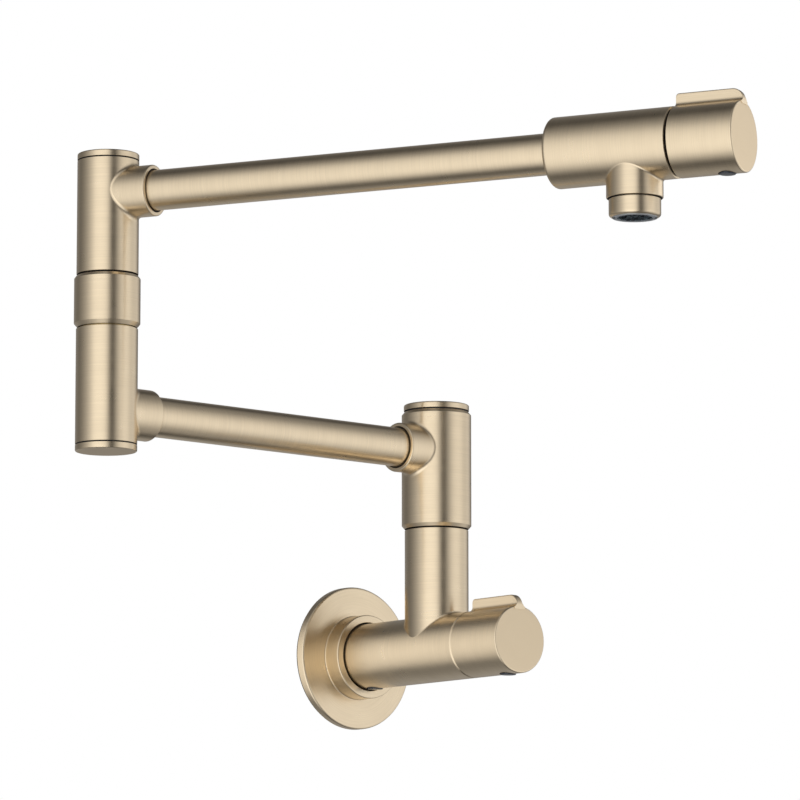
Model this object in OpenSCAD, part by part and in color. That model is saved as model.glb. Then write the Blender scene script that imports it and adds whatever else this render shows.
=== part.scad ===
// Wall-mounted pot filler: a fixed valve body on the wall, a swivel head, two swinging arms joined
// by an elbow, and a second valve with the spout at the far end.
// The origin is the middle of the wall plate's back on the wall face. +Y points into the wall,
// +Z is up and the tap stands out along -Y. It rests with the lower arm along the wall.

/* [Arms] */
// Length of the lower arm, from the riser's axis to the elbow's axis
lower_arm_len = 239; // [180:1:320]
// Reach of the upper arm, from the elbow's axis to the spout's axis
spout_reach = 309.2; // [240:0.2:400]
// Direction of the upper arm at rest, in degrees out from the lower arm
arm_angle = 66.6; // [20:0.2:160]
// Outer diameter of both arm tubes
tube_d = 22; // [20:0.5:23]
// Wall of both arm tubes
tube_wall = 1.2; // [0.8:0.1:2]
// Outer diameter of the sockets that hold the tubes
stub_d = 28; // [27:0.5:31]
// How far a tube goes into its socket
socket_depth = 13; // [8:0.5:13.5]
// Mouth of the head's socket, from the riser's axis
head_stub_len = 30.1; // [29.5:0.1:40]
// Mouth of each elbow socket, from the elbow's axis
elbow_stub_len = 29; // [28:0.1:40]

/* [Riser and swivel head] */
// Distance of the riser's axis from the wall
riser_out = 75.5; // [72:0.5:110]
// Diameter of the riser
riser_d = 36.2; // [34:0.2:38]
// Height of the riser's shoulder above the inlet's axis
riser_top = 67.3; // [50:0.1:100]
// Diameter of the swivel head
head_d = 39.6; // [36:0.2:44]
// Length of the swivel head without its cap
head_len = 67.5; // [65:0.5:90]
// Height of the lower arm's axis above the head's lower end
head_arm_rise = 44.8; // [43:0.1:50]
// Chamfer at both ends of the head
head_chamfer = 1.6; // [0.4:0.1:2.5]
// Diameter of the head's cap
head_cap_d = 37.2; // [33:0.2:40]
// Bore inside the head above the swivel
head_room_d = 30; // [27:0.5:31]

/* [Elbow] */
// Diameter of both elbow bodies and their caps
elbow_d = 33.6; // [33:0.2:38]
// From an arm's axis to the nearer end of its elbow body
elbow_end = 18.1; // [17:0.1:26]
// From the lower arm's axis up to the top of the lower elbow body
elbow_rise = 45; // [35:0.5:60]
// Bore inside both elbow bodies
elbow_room_d = 25.6; // [25.2:0.1:26.5]
// Diameter of the ring that hides the elbow's joint
ring_d = 36; // [34.5:0.1:40]
// Length of the ring
ring_len = 28.2; // [24:0.1:36]
// Height of the flange that carries the ring
ring_seat_len = 14; // [8:0.5:20]
// Diameter of that flange
ring_seat_d = 30.5; // [30:0.1:32]
// Gap between the ring and the neck that turns inside it
ring_gap = 0.3; // [0.2:0.1:0.6]
// Height of the upper arm's axis above the ring's upper end
elbow_drop = 45.1; // [36:0.1:60]
// Chamfer at both ends of the ring
ring_chamfer = 1.2; // [0.3:0.1:2]

/* [Caps and seams] */
// Thickness of the head's and the elbows' caps
cap_t = 3.7; // [2.5:0.1:8]
// Length of the threaded plug behind each cap
cap_plug_len = 7; // [4:0.5:7.5]
// Thickness of the flat seal under each cap
cap_seal_t = 0.4; // [0.2:0.1:1]
// How far each seal's edge stands back from its cap's edge
cap_seal_step = 0.5; // [0.2:0.1:1]
// Chamfer on the edges that can be seen
edge_chamfer = 0.8; // [0.2:0.1:1.2]
// Small chamfer that breaks the other edges
edge_break = 0.3; // [0.1:0.1:0.5]
// Gap between two parts that turn against each other at a seam
seam_gap = 0.4; // [0.2:0.1:0.8]

/* [Swivel pivots] */
// Diameter of the pivot inside each swivel
pivot_d = 20; // [18:0.5:21]
// Diameter of the thread on top of each pivot
pivot_thread_d = 16; // [15:0.5:17]
// Length of the sleeve that turns on each pivot
sleeve_len = 25.5; // [24:0.5:32]
// Outer diameter of the plain bearing in each sleeve
bushing_d = 25; // [23:0.5:26]
// Length of the plain bearing
bushing_len = 8; // [5:0.5:9]
// Thickness of the thrust washer under each sleeve
thrust_t = 0.5; // [0.3:0.1:1]
// Outer diameter of the thrust washer
thrust_d = 28.6; // [26:0.2:29]
// Running gap between a pivot and its sleeve
pivot_fit = 0.05; // [0.01:0.01:0.1]
// End play under the washer that holds a sleeve down
end_play = 0.05; // [0.02:0.01:0.1]
// Diameter of that washer
lock_washer_d = 24.4; // [22:0.2:24.8]
// Thickness of that washer
lock_washer_t = 1; // [0.8:0.1:2]
// Width across the flats of the nut above it
lock_nut_af = 20; // [19:0.5:21]
// Height of that nut
lock_nut_h = 5; // [3:0.5:6]
// Thread left above that nut
thread_end = 1; // [0.5:0.1:1.5]
// Height of the lower seal ring above the pivot's shoulder
low_seal_rise = 13; // [11.5:0.5:14]
// Height of the upper seal ring above the pivot's shoulder
high_seal_rise = 20; // [18.5:0.5:21]

/* [Seal rings] */
// Radial room for each large seal ring
seal_room = 2.2; // [1.6:0.1:2.4]
// Radial room for each seal ring on a valve stem
stem_seal_room = 1.2; // [0.8:0.1:1.5]
// Extra width of each seal ring's groove
groove_extra = 0.4; // [0.2:0.1:0.8]
// Slack left on each side of a seal ring
seal_slack = 0.05; // [0.02:0.01:0.1]

/* [Valve barrels] */
// Diameter of both valve barrels and their handles
barrel_d = 37.6; // [37:0.2:42]
// From the riser's axis to the inlet barrel's outer end
inlet_past_riser = 32; // [30:0.5:36]
// From the spout's axis to the outlet barrel's outer end
outlet_past_spout = 23.8; // [22.5:0.1:30]
// From the spout's axis back to the outlet barrel's inner end
outlet_before_spout = 45; // [42:0.5:70]
// Chamfer at the outlet barrel's inner end
inner_end_chamfer = 2; // [0.5:0.1:3]
// Bore for the bonnet nut's thread
bonnet_d = 29; // [28:0.2:30]
// Depth of that bore
bonnet_depth = 7; // [5:0.5:8]
// Bore that the cartridge's flange seals in
flange_bore_d = 26.4; // [26:0.2:27.4]
// Length of that bore
flange_bore_len = 10; // [9:0.5:11]
// Bore of the water gallery round the cartridge
gallery_d = 24.4; // [23:0.2:25]
// Length of the gallery
gallery_len = 22; // [21:0.5:23]
// Bore for the cartridge's nose
nose_bore_d = 21; // [20.4:0.1:21.6]
// Length of that bore
nose_bore_len = 8; // [7:0.5:9]
// Waterway before each valve
waterway_d = 14; // [10:0.5:15]

/* [Valve cartridges] */
// Outer diameter of the cartridge's body
cartridge_d = 20.8; // [20.2:0.1:20.8]
// Wall of the cartridge's body
cartridge_wall = 2; // [1.5:0.1:2.4]
// Thickness of the seal under the cartridge
seat_seal_t = 1.5; // [1:0.1:2]
// Thickness of the fixed ceramic disc
fixed_disc_t = 4; // [3:0.5:4.5]
// Thickness of the turning ceramic disc
turning_disc_t = 3.5; // [3:0.5:4]
// Diameter of the holes in both discs
disc_hole_d = 5.2; // [4:0.2:5.6]
// Distance of those holes from the axis
disc_hole_out = 4.4; // [3.8:0.1:4.8]
// Gap between the two discs
disc_gap = 0.03; // [0.01:0.01:0.08]
// Diameter of the valve's stem
stem_d = 9; // [8:0.2:9.6]
// Diameter of the stem's shoulder inside the cartridge
stem_shoulder_d = 12; // [11:0.5:13]
// Width of the stem's drive bar
drive_w = 6; // [5:0.5:7]
// Length of the stem's drive bar
drive_len = 14.6; // [13:0.2:15]
// Height of the stem's drive bar
drive_h = 4; // [3:0.5:5]
// Length of the cartridge's neck, which the stem turns in
neck_len = 7; // [6:0.5:8]
// Width of the windows in the cartridge's side
window_w = 9; // [6:0.5:10]
// Height of those windows
window_h = 12; // [8:0.5:13]
// From the cartridge's flange down to those windows
window_drop = 4; // [3:0.5:5]
// Gap between the bonnet nut's corners and the handle
bonnet_gap = 1.07; // [0.5:0.01:2]
// Height of the bonnet nut's flats
bonnet_h = 5; // [3:0.5:8]
// Bore of the bonnet nut
bonnet_bore_d = 12; // [11:0.5:14]

/* [Handles] */
// Length of each handle
handle_len = 37.2; // [33:0.2:50]
// Wall round the handle's hollow
handle_wall = 3.3; // [2.8:0.1:3.6]
// Depth of the hollow that covers the bonnet nut
handle_room_len = 20; // [12:0.5:21]
// Thickness of the handle's blade
blade_t = 4; // [3:0.1:6]
// Height of the blade above the handle
blade_rise = 6.6; // [4:0.1:14]
// Rounding of the blade's outer corner
blade_round = 6.3; // [2:0.1:8]
// Rounding of the blade's inner corner
blade_inner_round = 1.5; // [0.5:0.1:4]
// How far the stem goes past the handle's hollow
stem_grip = 13; // [11.5:0.5:14]
// Depth of the flat cut into the stem for the set screw
stem_flat_cut = 1.3; // [0.8:0.1:1.8]
// Clearance between the stem and its hole in the handle
stem_fit = 0.05; // [0.01:0.01:0.1]
// Set screw's axis, from the handle's outer end
handle_screw_in = 9.9; // [8.5:0.1:10.5]
// Diameter of the set screws
screw_d = 5; // [4:0.5:6]
// Length of the handle's set screw
handle_screw_len = 8; // [6:0.5:12]
// Width across the flats of the set screws' sockets
screw_key_af = 2.5; // [2:0.5:3]
// Depth of the set screws' sockets
screw_key_depth = 2.4; // [1.5:0.1:3]
// Diameter of the plug over each set screw
plug_d = 8.8; // [7:0.1:9.6]
// Depth of the plug's seat below the barrel's surface
plug_depth = 2.6; // [1.5:0.1:3]
// How far the plug stands out of the surface
plug_proud = 0.4; // [0.1:0.1:1]
// Gap round each plug
plug_gap = 0.2; // [0.1:0.05:0.4]

/* [Wall plate and supply] */
// Diameter of the wall plate
plate_d = 82; // [70:1:110]
// Distance of the plate's front from the wall
plate_front = 6.5; // [4.5:0.1:9]
// Chamfer round the plate's front edge
plate_chamfer = 1.4; // [0.5:0.1:2.5]
// Diameter of the plate's collar
collar_d = 48; // [46:0.5:56]
// Distance of the collar's front from the wall
collar_front = 17.4; // [16.4:0.1:17.4]
// Gap between the collar and the barrel
collar_gap = 0.4; // [0.3:0.1:1]
// Diameter of the hollow in the plate's back
plate_hollow_d = 68; // [50:1:69]
// Depth of that hollow
plate_hollow_depth = 2; // [1:0.1:2.5]
// Thickness of the wall gasket
gasket_t = 1.5; // [1:0.1:2]
// Width of the wall gasket
gasket_w = 6.5; // [4:0.5:10]
// How far the gasket stands back from the plate's edge
gasket_step = 1; // [0.5:0.1:2]
// Thread of the supply connection, outer diameter
supply_thread_d = 20.96; // [20:0.01:21.4]
// Depth of that thread
supply_thread_len = 14; // [10:0.5:16]
// Thickness of the inlet filter
filter_t = 1; // [0.8:0.1:1.5]
// Diameter of the inlet filter
filter_d = 19; // [16:0.5:19.5]
// Diameter of the holes in the inlet filter
filter_hole_d = 3.2; // [2:0.1:3.6]
// Width across the flats of the supply adaptor
adaptor_af = 27; // [26:0.5:32]
// Length of the adaptor's hexagon, up to the barrel's end
adaptor_hex_len = 10.5; // [8:0.5:11]
// Diameter of the adaptor's spigot
spigot_d = 24; // [23:0.2:26]
// Length of the adaptor's spigot
spigot_len = 37; // [34:0.5:38]
// Clearance between the spigot and the barrel
spigot_fit = 0.05; // [0.01:0.01:0.1]
// Distance of the adaptor's first seal ring from the wall
adaptor_seal_out = 31; // [29.5:0.5:33]
// Distance between the adaptor's two seal rings
adaptor_seal_pitch = 7; // [5:0.5:8]
// Distance of the body's set screw from the wall
body_screw_out = 22.6; // [22.4:0.1:24]
// Depth of the groove that the body's set screw grips
grip_depth = 1.2; // [0.6:0.1:1.6]
// Clearance between that groove's sides and the set screw
grip_gap = 0.1; // [0.05:0.05:0.3]

/* [Spout and aerator] */
// Diameter of the spout
spout_d = 29.7; // [28:0.1:33]
// Length of the spout below the upper arm's axis
spout_drop = 27.5; // [26.5:0.1:50]
// Diameter of the water port between gallery and spout
spout_port_d = 13; // [9:0.5:14]
// Diameter of the aerator's thread
aerator_thread_d = 24; // [22:0.1:25]
// Length of that thread
aerator_thread_len = 7; // [5:0.5:7.5]
// Diameter of the aerator's housing
aerator_d = 27.2; // [26:0.1:30]
// Length of the housing below the spout
aerator_len = 9.5; // [8:0.1:16]
// Rounding allowance at the housing's lower edge
aerator_chamfer = 1.5; // [0.3:0.1:2]
// Diameter of the aerator's mouth
mouth_d = 23.5; // [22:0.1:24]
// Depth of that mouth
mouth_depth = 5; // [4:0.5:6]
// Bore of the housing above its mouth
housing_bore_d = 19.2; // [18:0.1:20]
// Thickness of the aerator's washer
aerator_washer_t = 1.5; // [1:0.1:2]
// How far the insert stands out of the mouth
insert_proud = 0.4; // [0.2:0.1:1]
// Width of the insert's rim
insert_rim = 2.2; // [1.5:0.1:2.5]
// Wall of the insert's upper part
insert_wall = 1.7; // [1:0.1:2]
// Width of the key notches in the insert's rim
notch_w = 4; // [1:0.1:5]
// How far those notches go into the rim
notch_reach = 1.6; // [0.6:0.1:1.8]
// Depth of those notches
notch_depth = 1.4; // [0.6:0.1:2]
// Turn of those notches from square to the upper arm
notch_turn = 64.7; // [0:0.1:90]
// Thickness of the honeycomb screen
screen_t = 2; // [1:0.1:4]
// How deep the screen sits in the insert
screen_recess = 0.2; // [0.1:0.1:1]
// Width across the flats of the honeycomb's cells
cell_af = 1.7; // [1.4:0.1:2]
// Wall between the honeycomb's cells
cell_wall = 0.4; // [0.3:0.1:0.8]

/* [Hidden] */

bronze = "#c8b391";
steel = "#a9a9a8";
brass = "#b9975b";
rubber = "#2b2b2e";
polymer = "#d9d6cc";
ceramic = "#eeeae0";
plug_blue = "#4a505c";

// Round forms are drawn with this many sides
smooth = 96;
// Overrun of every cut
cut = 1;
right_angle = 90;
half_turn = 180;
window_count = 2;
hex_sides = 6;
cell_rings = 4;
filter_hole_count = 6;

// Heights of the swivels and arms above the inlet's axis
head_base = riser_top + thrust_t;
head_top = head_base + head_len;
lower_arm_z = head_base + head_arm_rise;
elbow_base = lower_arm_z - elbow_end;
elbow_shoulder = lower_arm_z + elbow_rise;
ring_base = elbow_shoulder + seam_gap;
ring_top = ring_base + ring_len;
spindle_shoulder = elbow_shoulder + ring_seat_len;
upper_column_base = ring_top + seam_gap;
upper_arm_z = ring_top + elbow_drop;
elbow_top = upper_arm_z + elbow_end;

// Swivel pivot, measured from its shoulder
sleeve_top = thrust_t + sleeve_len;
washer_seat = sleeve_top + end_play;
nut_seat = washer_seat + lock_washer_t;
pivot_top = nut_seat + lock_nut_h + thread_end;
pivot_bore_d = pivot_thread_d - seal_room * 2;
sleeve_d = pivot_d + pivot_fit * 2;
neck_d = ring_seat_d - ring_gap * 2;

// Sockets and tubes
socket_bore_d = tube_d;
passage_d = tube_d - tube_wall * 4;
head_socket_floor = head_stub_len - socket_depth;
elbow_socket_floor = elbow_stub_len - socket_depth;
outlet_start = spout_reach - outlet_before_spout;
outlet_end = spout_reach + outlet_past_spout;
outlet_socket_floor = outlet_start + socket_depth;

// Valve, measured outward from the barrel's outer end
flange_seat = -bonnet_depth - flange_bore_len;
gallery_floor = flange_seat - gallery_len;
nose_floor = gallery_floor - nose_bore_len;
cartridge_base = nose_floor + seat_seal_t;
cartridge_room_d = cartridge_d - cartridge_wall * 2;
turning_disc_d = cartridge_room_d - pivot_fit * 2;
flange_d = flange_bore_d - seal_slack * 2;
fixed_disc_top = cartridge_base + fixed_disc_t;
turning_disc_base = fixed_disc_top + disc_gap;
turning_disc_top = turning_disc_base + turning_disc_t;
drive_top = turning_disc_top + drive_h;
neck_base = -bonnet_depth - neck_len;
flange_seal_z = -bonnet_depth - flange_bore_len / 2;
stem_seal_z = -bonnet_depth - neck_len / 2;
stem_bore_d = stem_d + stem_fit * 2;
window_top = flange_seat - window_drop;

// Handle, measured outward from the barrel's outer end
handle_start = seam_gap;
handle_end = handle_start + handle_len;
handle_room_d = barrel_d - handle_wall * 2;
bonnet_af = (handle_room_d - bonnet_gap * 2) * cos(half_turn / hex_sides);
hub_start = handle_start + handle_room_len;
stem_end = hub_start + stem_grip;
handle_screw_z = handle_end - handle_screw_in;
stem_flat = stem_d / 2 - stem_flat_cut;
plug_floor = barrel_d / 2 - plug_depth;

// Inlet, measured outward from the wall
inlet_end = riser_out + inlet_past_riser;
spigot_end = adaptor_hex_len + spigot_len;
filter_end = supply_thread_len + filter_t;
spigot_bore_d = spigot_d + spigot_fit * 2;
adaptor_seal_d = spigot_bore_d - seal_room * 2;
collar_bore_d = barrel_d + collar_gap * 2;
plate_seal_out = adaptor_hex_len + (collar_front - adaptor_hex_len) / 2;
body_screw_seat = spigot_d / 2 - grip_depth;

// Spout and aerator, measured down from the upper arm's axis
aerator_seat = spout_drop - aerator_thread_len - aerator_washer_t;
housing_top = aerator_seat + aerator_washer_t;
housing_shelf = spout_drop + seam_gap;
housing_base = housing_shelf + aerator_len;
mouth_top = housing_base - mouth_depth;
insert_base = housing_base + insert_proud;
insert_bore_d = housing_bore_d - insert_wall * 2;
notch_root_d = mouth_d - notch_reach * 2;
screen_d = mouth_d - insert_rim * 2;
screen_base = insert_base - screen_recess;
screen_top = screen_base - screen_t;
cell_pitch = cell_af + cell_wall;
cell_corner_d = cell_af / cos(half_turn / hex_sides);

// A plain cylinder from height z0 to height z1
module rod(d, z0, z1, sides = smooth) {
    translate([0, 0, z0])
    cylinder(d = d, h = z1 - z0, $fn = sides);
}

// A plain ring from height z0 to height z1
module band(outer_d, inner_d, z0, z1) {
    difference() {
        rod(outer_d, z0, z1);
        rod(inner_d, z0 - cut, z1 + cut);
    }
}

// A turned bar from height z0 to height z1, chamfered at both ends
module bar(d, z0, z1, low, high) {
    r = d / 2;
    rotate_extrude($fn = smooth)
    polygon([[0, z0], [r - low, z0], [r, z0 + low], [r, z1 - high], [r - high, z1], [0, z1]]);
}

// A nut from height z0 to height z1, by its width across the flats
module hexagon(af, z0, z1) {
    rod(af / cos(half_turn / hex_sides), z0, z1, hex_sides);
}

// The groove that a seal ring lies in, cut into a shaft or a bore
module seal_groove(inner_d, outer_d, z) {
    room = (outer_d - inner_d) / 2 + groove_extra;
    band(outer_d, inner_d, z - room / 2, z + room / 2);
}

// A seal ring between two diameters
module seal_ring(inner_d, outer_d, z) {
    section = (outer_d - inner_d) / 2 - seal_slack * 2;
    rotate_extrude($fn = smooth)
    translate([(outer_d + inner_d) / 4, z])
    circle(d = section, $fn = smooth / 3);
}

// Points the Z axis along the wall side of a column, at an angle about the vertical
module toward(angle, height) {
    translate([0, 0, height])
    rotate([0, 0, angle])
    rotate([0, right_angle, 0])
    children();
}

module at_riser() {
    translate([0, -riser_out, 0])
    children();
}

module at_elbow() {
    translate([-lower_arm_len, -riser_out, 0])
    children();
}

// Z runs out from the wall along the inlet and Y is up
module along_inlet() {
    rotate([right_angle, 0, 0])
    children();
}

// Z runs out along the upper arm from the elbow's axis and Y is up
module along_upper_arm() {
    at_elbow()
    translate([0, 0, upper_arm_z])
    rotate([0, 0, right_angle - arm_angle])
    rotate([right_angle, 0, 0])
    children();
}

module at_inlet_valve() {
    along_inlet()
    translate([0, 0, inlet_end])
    children();
}

module at_outlet_valve() {
    along_upper_arm()
    translate([0, 0, outlet_end])
    children();
}

// Z is up at the spout and the heights run down from the upper arm's axis
module at_spout() {
    along_upper_arm()
    translate([0, 0, spout_reach])
    rotate([-right_angle, 0, 0])
    children();
}

// The pivot above a shoulder, with its two seal grooves
module pivot(shoulder) {
    difference() {
        union() {
            rod(pivot_d, shoulder - cut, shoulder + washer_seat);
            rod(pivot_thread_d, shoulder, shoulder + pivot_top);
        }
        seal_groove(sleeve_d - seal_room * 2, sleeve_d, shoulder + low_seal_rise);
        seal_groove(sleeve_d - seal_room * 2, sleeve_d, shoulder + high_seal_rise);
    }
}

module pivot_seals(shoulder) {
    seal_ring(sleeve_d - seal_room * 2, sleeve_d, shoulder + low_seal_rise);
    seal_ring(sleeve_d - seal_room * 2, sleeve_d, shoulder + high_seal_rise);
}

module pivot_thrust_washer(shoulder) {
    band(thrust_d, sleeve_d, shoulder, shoulder + thrust_t);
}

module pivot_bushing(shoulder) {
    band(bushing_d, sleeve_d, shoulder + thrust_t, shoulder + thrust_t + bushing_len);
}

module pivot_washer(shoulder) {
    band(lock_washer_d, pivot_thread_d, shoulder + washer_seat, shoulder + nut_seat);
}

module pivot_nut(shoulder) {
    difference() {
        hexagon(lock_nut_af, shoulder + nut_seat, shoulder + nut_seat + lock_nut_h);
        rod(pivot_thread_d, shoulder + nut_seat - cut, shoulder + pivot_top);
    }
}

// What a pivot and its bearing take out of the part that turns on it
module pivot_cut(shoulder) {
    rod(sleeve_d, shoulder, shoulder + sleeve_top + cut);
    rod(bushing_d, shoulder, shoulder + thrust_t + bushing_len);
}

// What a tube and the water behind it take out of a socket
module socket_cut(floor_at, mouth_at) {
    rod(passage_d, 0, floor_at + cut);
    rod(socket_bore_d, floor_at, mouth_at + cut);
}

module flat_seal(cap_d, plug_d, z0) {
    band(cap_d - cap_seal_step * 2, plug_d, z0, z0 + cap_seal_t);
}

// A threaded cap that closes a column from above, seated on its flat seal
module threaded_cap(cap_d, plug_d, seat) {
    base = seat + cap_seal_t;
    bar(cap_d, base, base + cap_t, edge_break, edge_chamfer);
    rod(plug_d, seat - cap_plug_len, base + edge_break);
}

// What one valve takes out of its barrel
module valve_cut() {
    rod(bonnet_d, -bonnet_depth, cut);
    rod(flange_bore_d, flange_seat, 0);
    rod(gallery_d, gallery_floor, 0);
    rod(nose_bore_d, nose_floor, 0);
    rod(waterway_d, nose_floor - cut, 0);
}

module seat_seal() {
    band(cartridge_d, waterway_d, nose_floor, cartridge_base);
}

module disc_holes(z0, z1) {
    for (side = [-1, 1])
        translate([side * disc_hole_out, 0, 0])
        rod(disc_hole_d, z0 - cut, z1 + cut, smooth / 2);
}

module fixed_disc() {
    difference() {
        rod(cartridge_room_d, cartridge_base, fixed_disc_top);
        disc_holes(cartridge_base, fixed_disc_top);
    }
}

// At rest the valve is closed, so these holes stand a quarter turn from the fixed ones
module turning_disc() {
    difference() {
        rod(turning_disc_d, turning_disc_base, turning_disc_top);
        rotate([0, 0, right_angle])
        disc_holes(turning_disc_base, turning_disc_top);
    }
}

module cartridge() {
    difference() {
        union() {
            rod(cartridge_d, cartridge_base, flange_seat);
            rod(flange_d, flange_seat, -bonnet_depth);
        }
        rod(cartridge_room_d, cartridge_base - cut, neck_base);
        rod(stem_bore_d, neck_base - cut, 0);
        for (turn = [0 : window_count - 1])
            rotate([0, 0, turn * right_angle])
            translate([-cartridge_d, -window_w / 2, window_top - window_h])
            cube([cartridge_d * 2, window_w, window_h]);
        seal_groove(flange_bore_d - seal_room * 2, flange_bore_d, flange_seal_z);
    }
}

module cartridge_seal() {
    seal_ring(flange_bore_d - seal_room * 2, flange_bore_d, flange_seal_z);
}

module bonnet_nut() {
    difference() {
        union() {
            rod(bonnet_d, -bonnet_depth, 0);
            hexagon(bonnet_af, 0, bonnet_h);
        }
        rod(bonnet_bore_d, -bonnet_depth - cut, bonnet_h + cut);
    }
}

module stem() {
    difference() {
        union() {
            translate([-drive_len / 2, -drive_w / 2, turning_disc_top])
            cube([drive_len, drive_w, drive_h]);
            rod(stem_shoulder_d, drive_top - edge_break, neck_base - end_play);
            rod(stem_d, drive_top, stem_end);
        }
        seal_groove(stem_bore_d - stem_seal_room * 2, stem_bore_d, stem_seal_z);
        translate([-stem_d, -stem_flat - stem_d, hub_start])
        cube([stem_d * 2, stem_d, stem_grip + cut]);
    }
}

module stem_seal() {
    seal_ring(stem_bore_d - stem_seal_room * 2, stem_bore_d, stem_seal_z);
}

// The side view of the blade, with its two rounded top corners
module blade_outline() {
    top = barrel_d / 2 + blade_rise;
    difference() {
        square([handle_len, top]);
        translate([handle_len - blade_round, top - blade_round])
        square([blade_round + cut, blade_round + cut]);
        translate([-cut, top - blade_inner_round])
        square([blade_inner_round + cut, blade_inner_round + cut]);
    }
    translate([handle_len - blade_round, top - blade_round])
    circle(r = blade_round, $fn = smooth);
    translate([blade_inner_round, top - blade_inner_round])
    circle(r = blade_inner_round, $fn = smooth);
}

module handle() {
    difference() {
        union() {
            bar(barrel_d, handle_start, handle_end, edge_break, edge_chamfer);
            translate([blade_t / 2, 0, handle_start])
            rotate([0, -right_angle, 0])
            linear_extrude(height = blade_t)
            blade_outline();
        }
        rod(handle_room_d, handle_start - cut, hub_start);
        difference() {
            rod(stem_bore_d, hub_start - cut, stem_end + end_play);
            translate([-stem_d, -stem_flat - stem_fit - stem_d, hub_start - cut])
            cube([stem_d * 2, stem_d, stem_grip + cut * 2]);
        }
        translate([0, 0, handle_screw_z])
        rotate([right_angle, 0, 0]) {
            rod(screw_d, 0, barrel_d / 2);
            rod(plug_d + plug_gap * 2, plug_floor, barrel_d / 2 + cut);
        }
    }
}

// A set screw that points inward from seat + len to seat, with its key socket outside
module set_screw(seat, len) {
    difference() {
        rod(screw_d, seat, seat + len, smooth / 2);
        hexagon(screw_key_af, seat + len - screw_key_depth, seat + len + cut);
    }
}

module screw_plug() {
    bar(plug_d, plug_floor, barrel_d / 2 + plug_proud, edge_break, edge_break);
}

// Turns the Z axis from a barrel's axis to its underside, at a place along that axis
module under_barrel(place) {
    translate([0, 0, place])
    rotate([right_angle, 0, 0])
    children();
}

module wall_gasket() {
    outer = plate_d - gasket_step * 2;
    color(rubber)
    along_inlet()
    band(outer, outer - gasket_w * 2, 0, gasket_t);
}

module wall_plate() {
    color(bronze)
    along_inlet()
    difference() {
        union() {
            bar(plate_d, gasket_t, plate_front, edge_break, plate_chamfer);
            bar(collar_d, plate_front - cut, collar_front, edge_break, edge_break);
        }
        rod(collar_bore_d, 0, collar_front + cut);
        rod(plate_hollow_d, 0, gasket_t + plate_hollow_depth);
        seal_groove(barrel_d, barrel_d + seal_room * 2, plate_seal_out);
    }
}

module wall_plate_oring() {
    color(rubber)
    along_inlet()
    seal_ring(barrel_d, barrel_d + seal_room * 2, plate_seal_out);
}

module supply_adaptor() {
    color(brass)
    along_inlet()
    difference() {
        union() {
            hexagon(adaptor_af, 0, adaptor_hex_len);
            rod(spigot_d, adaptor_hex_len - cut, spigot_end);
        }
        rod(supply_thread_d, -cut, supply_thread_len);
        rod(filter_d, 0, filter_end);
        rod(waterway_d, 0, spigot_end + cut);
        for (ring = [0, 1])
            seal_groove(adaptor_seal_d, spigot_bore_d, adaptor_seal_out + ring * adaptor_seal_pitch);
        band(
            spigot_bore_d,
            body_screw_seat * 2,
            body_screw_out - screw_d / 2 - grip_gap,
            body_screw_out + screw_d / 2 + grip_gap
        );
    }
}

module adaptor_orings() {
    color(rubber)
    along_inlet()
    for (ring = [0, 1])
        seal_ring(adaptor_seal_d, spigot_bore_d, adaptor_seal_out + ring * adaptor_seal_pitch);
}

module inlet_filter() {
    hole_out = waterway_d / 2 - filter_hole_d / 2;
    color(steel)
    along_inlet()
    difference() {
        rod(filter_d, supply_thread_len, filter_end);
        rod(filter_hole_d, supply_thread_len - cut, filter_end + cut);
        for (hole = [1 : filter_hole_count])
            rotate([0, 0, hole * half_turn * 2 / filter_hole_count])
            translate([hole_out, 0, 0])
            rod(filter_hole_d, supply_thread_len - cut, filter_end + cut);
    }
}

module inlet_body() {
    color(bronze)
    difference() {
        union() {
            along_inlet()
            bar(barrel_d, adaptor_hex_len, inlet_end, edge_break, edge_chamfer);
            at_riser() {
                bar(riser_d, 0, riser_top, edge_break, edge_break);
                pivot(riser_top);
            }
        }
        along_inlet() {
            rod(spigot_bore_d, 0, spigot_end + seam_gap);
            rod(waterway_d, 0, inlet_end);
            under_barrel(body_screw_out) {
                rod(screw_d, 0, barrel_d / 2);
                rod(plug_d + plug_gap * 2, plug_floor, barrel_d / 2 + cut);
            }
        }
        at_inlet_valve()
        valve_cut();
        at_riser()
        rod(pivot_bore_d, 0, riser_top + pivot_top + cut);
    }
}

module body_set_screw() {
    color(steel)
    along_inlet()
    under_barrel(body_screw_out)
    set_screw(body_screw_seat, plug_floor - body_screw_seat - edge_break);
}

module body_screw_plug() {
    color(plug_blue)
    along_inlet()
    under_barrel(body_screw_out)
    screw_plug();
}

module inlet_seat_seal() {
    color(rubber)
    at_inlet_valve()
    seat_seal();
}

module inlet_cartridge() {
    color(brass)
    at_inlet_valve()
    cartridge();
}

module inlet_fixed_disc() {
    color(ceramic)
    at_inlet_valve()
    fixed_disc();
}

module inlet_cartridge_oring() {
    color(rubber)
    at_inlet_valve()
    cartridge_seal();
}

module inlet_bonnet_nut() {
    color(brass)
    at_inlet_valve()
    bonnet_nut();
}

module riser_orings() {
    color(rubber)
    at_riser()
    pivot_seals(riser_top);
}

module riser_lock_washer() {
    color(steel)
    at_riser()
    pivot_washer(riser_top);
}

module riser_lock_nut() {
    color(brass)
    at_riser()
    pivot_nut(riser_top);
}

module inlet_handle() {
    color(bronze)
    at_inlet_valve()
    handle();
}

module inlet_stem() {
    color(brass)
    at_inlet_valve()
    stem();
}

module inlet_turning_disc() {
    color(ceramic)
    at_inlet_valve()
    turning_disc();
}

module inlet_stem_oring() {
    color(rubber)
    at_inlet_valve()
    stem_seal();
}

module inlet_handle_screw() {
    color(steel)
    at_inlet_valve()
    under_barrel(handle_screw_z)
    set_screw(stem_flat, handle_screw_len);
}

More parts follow.
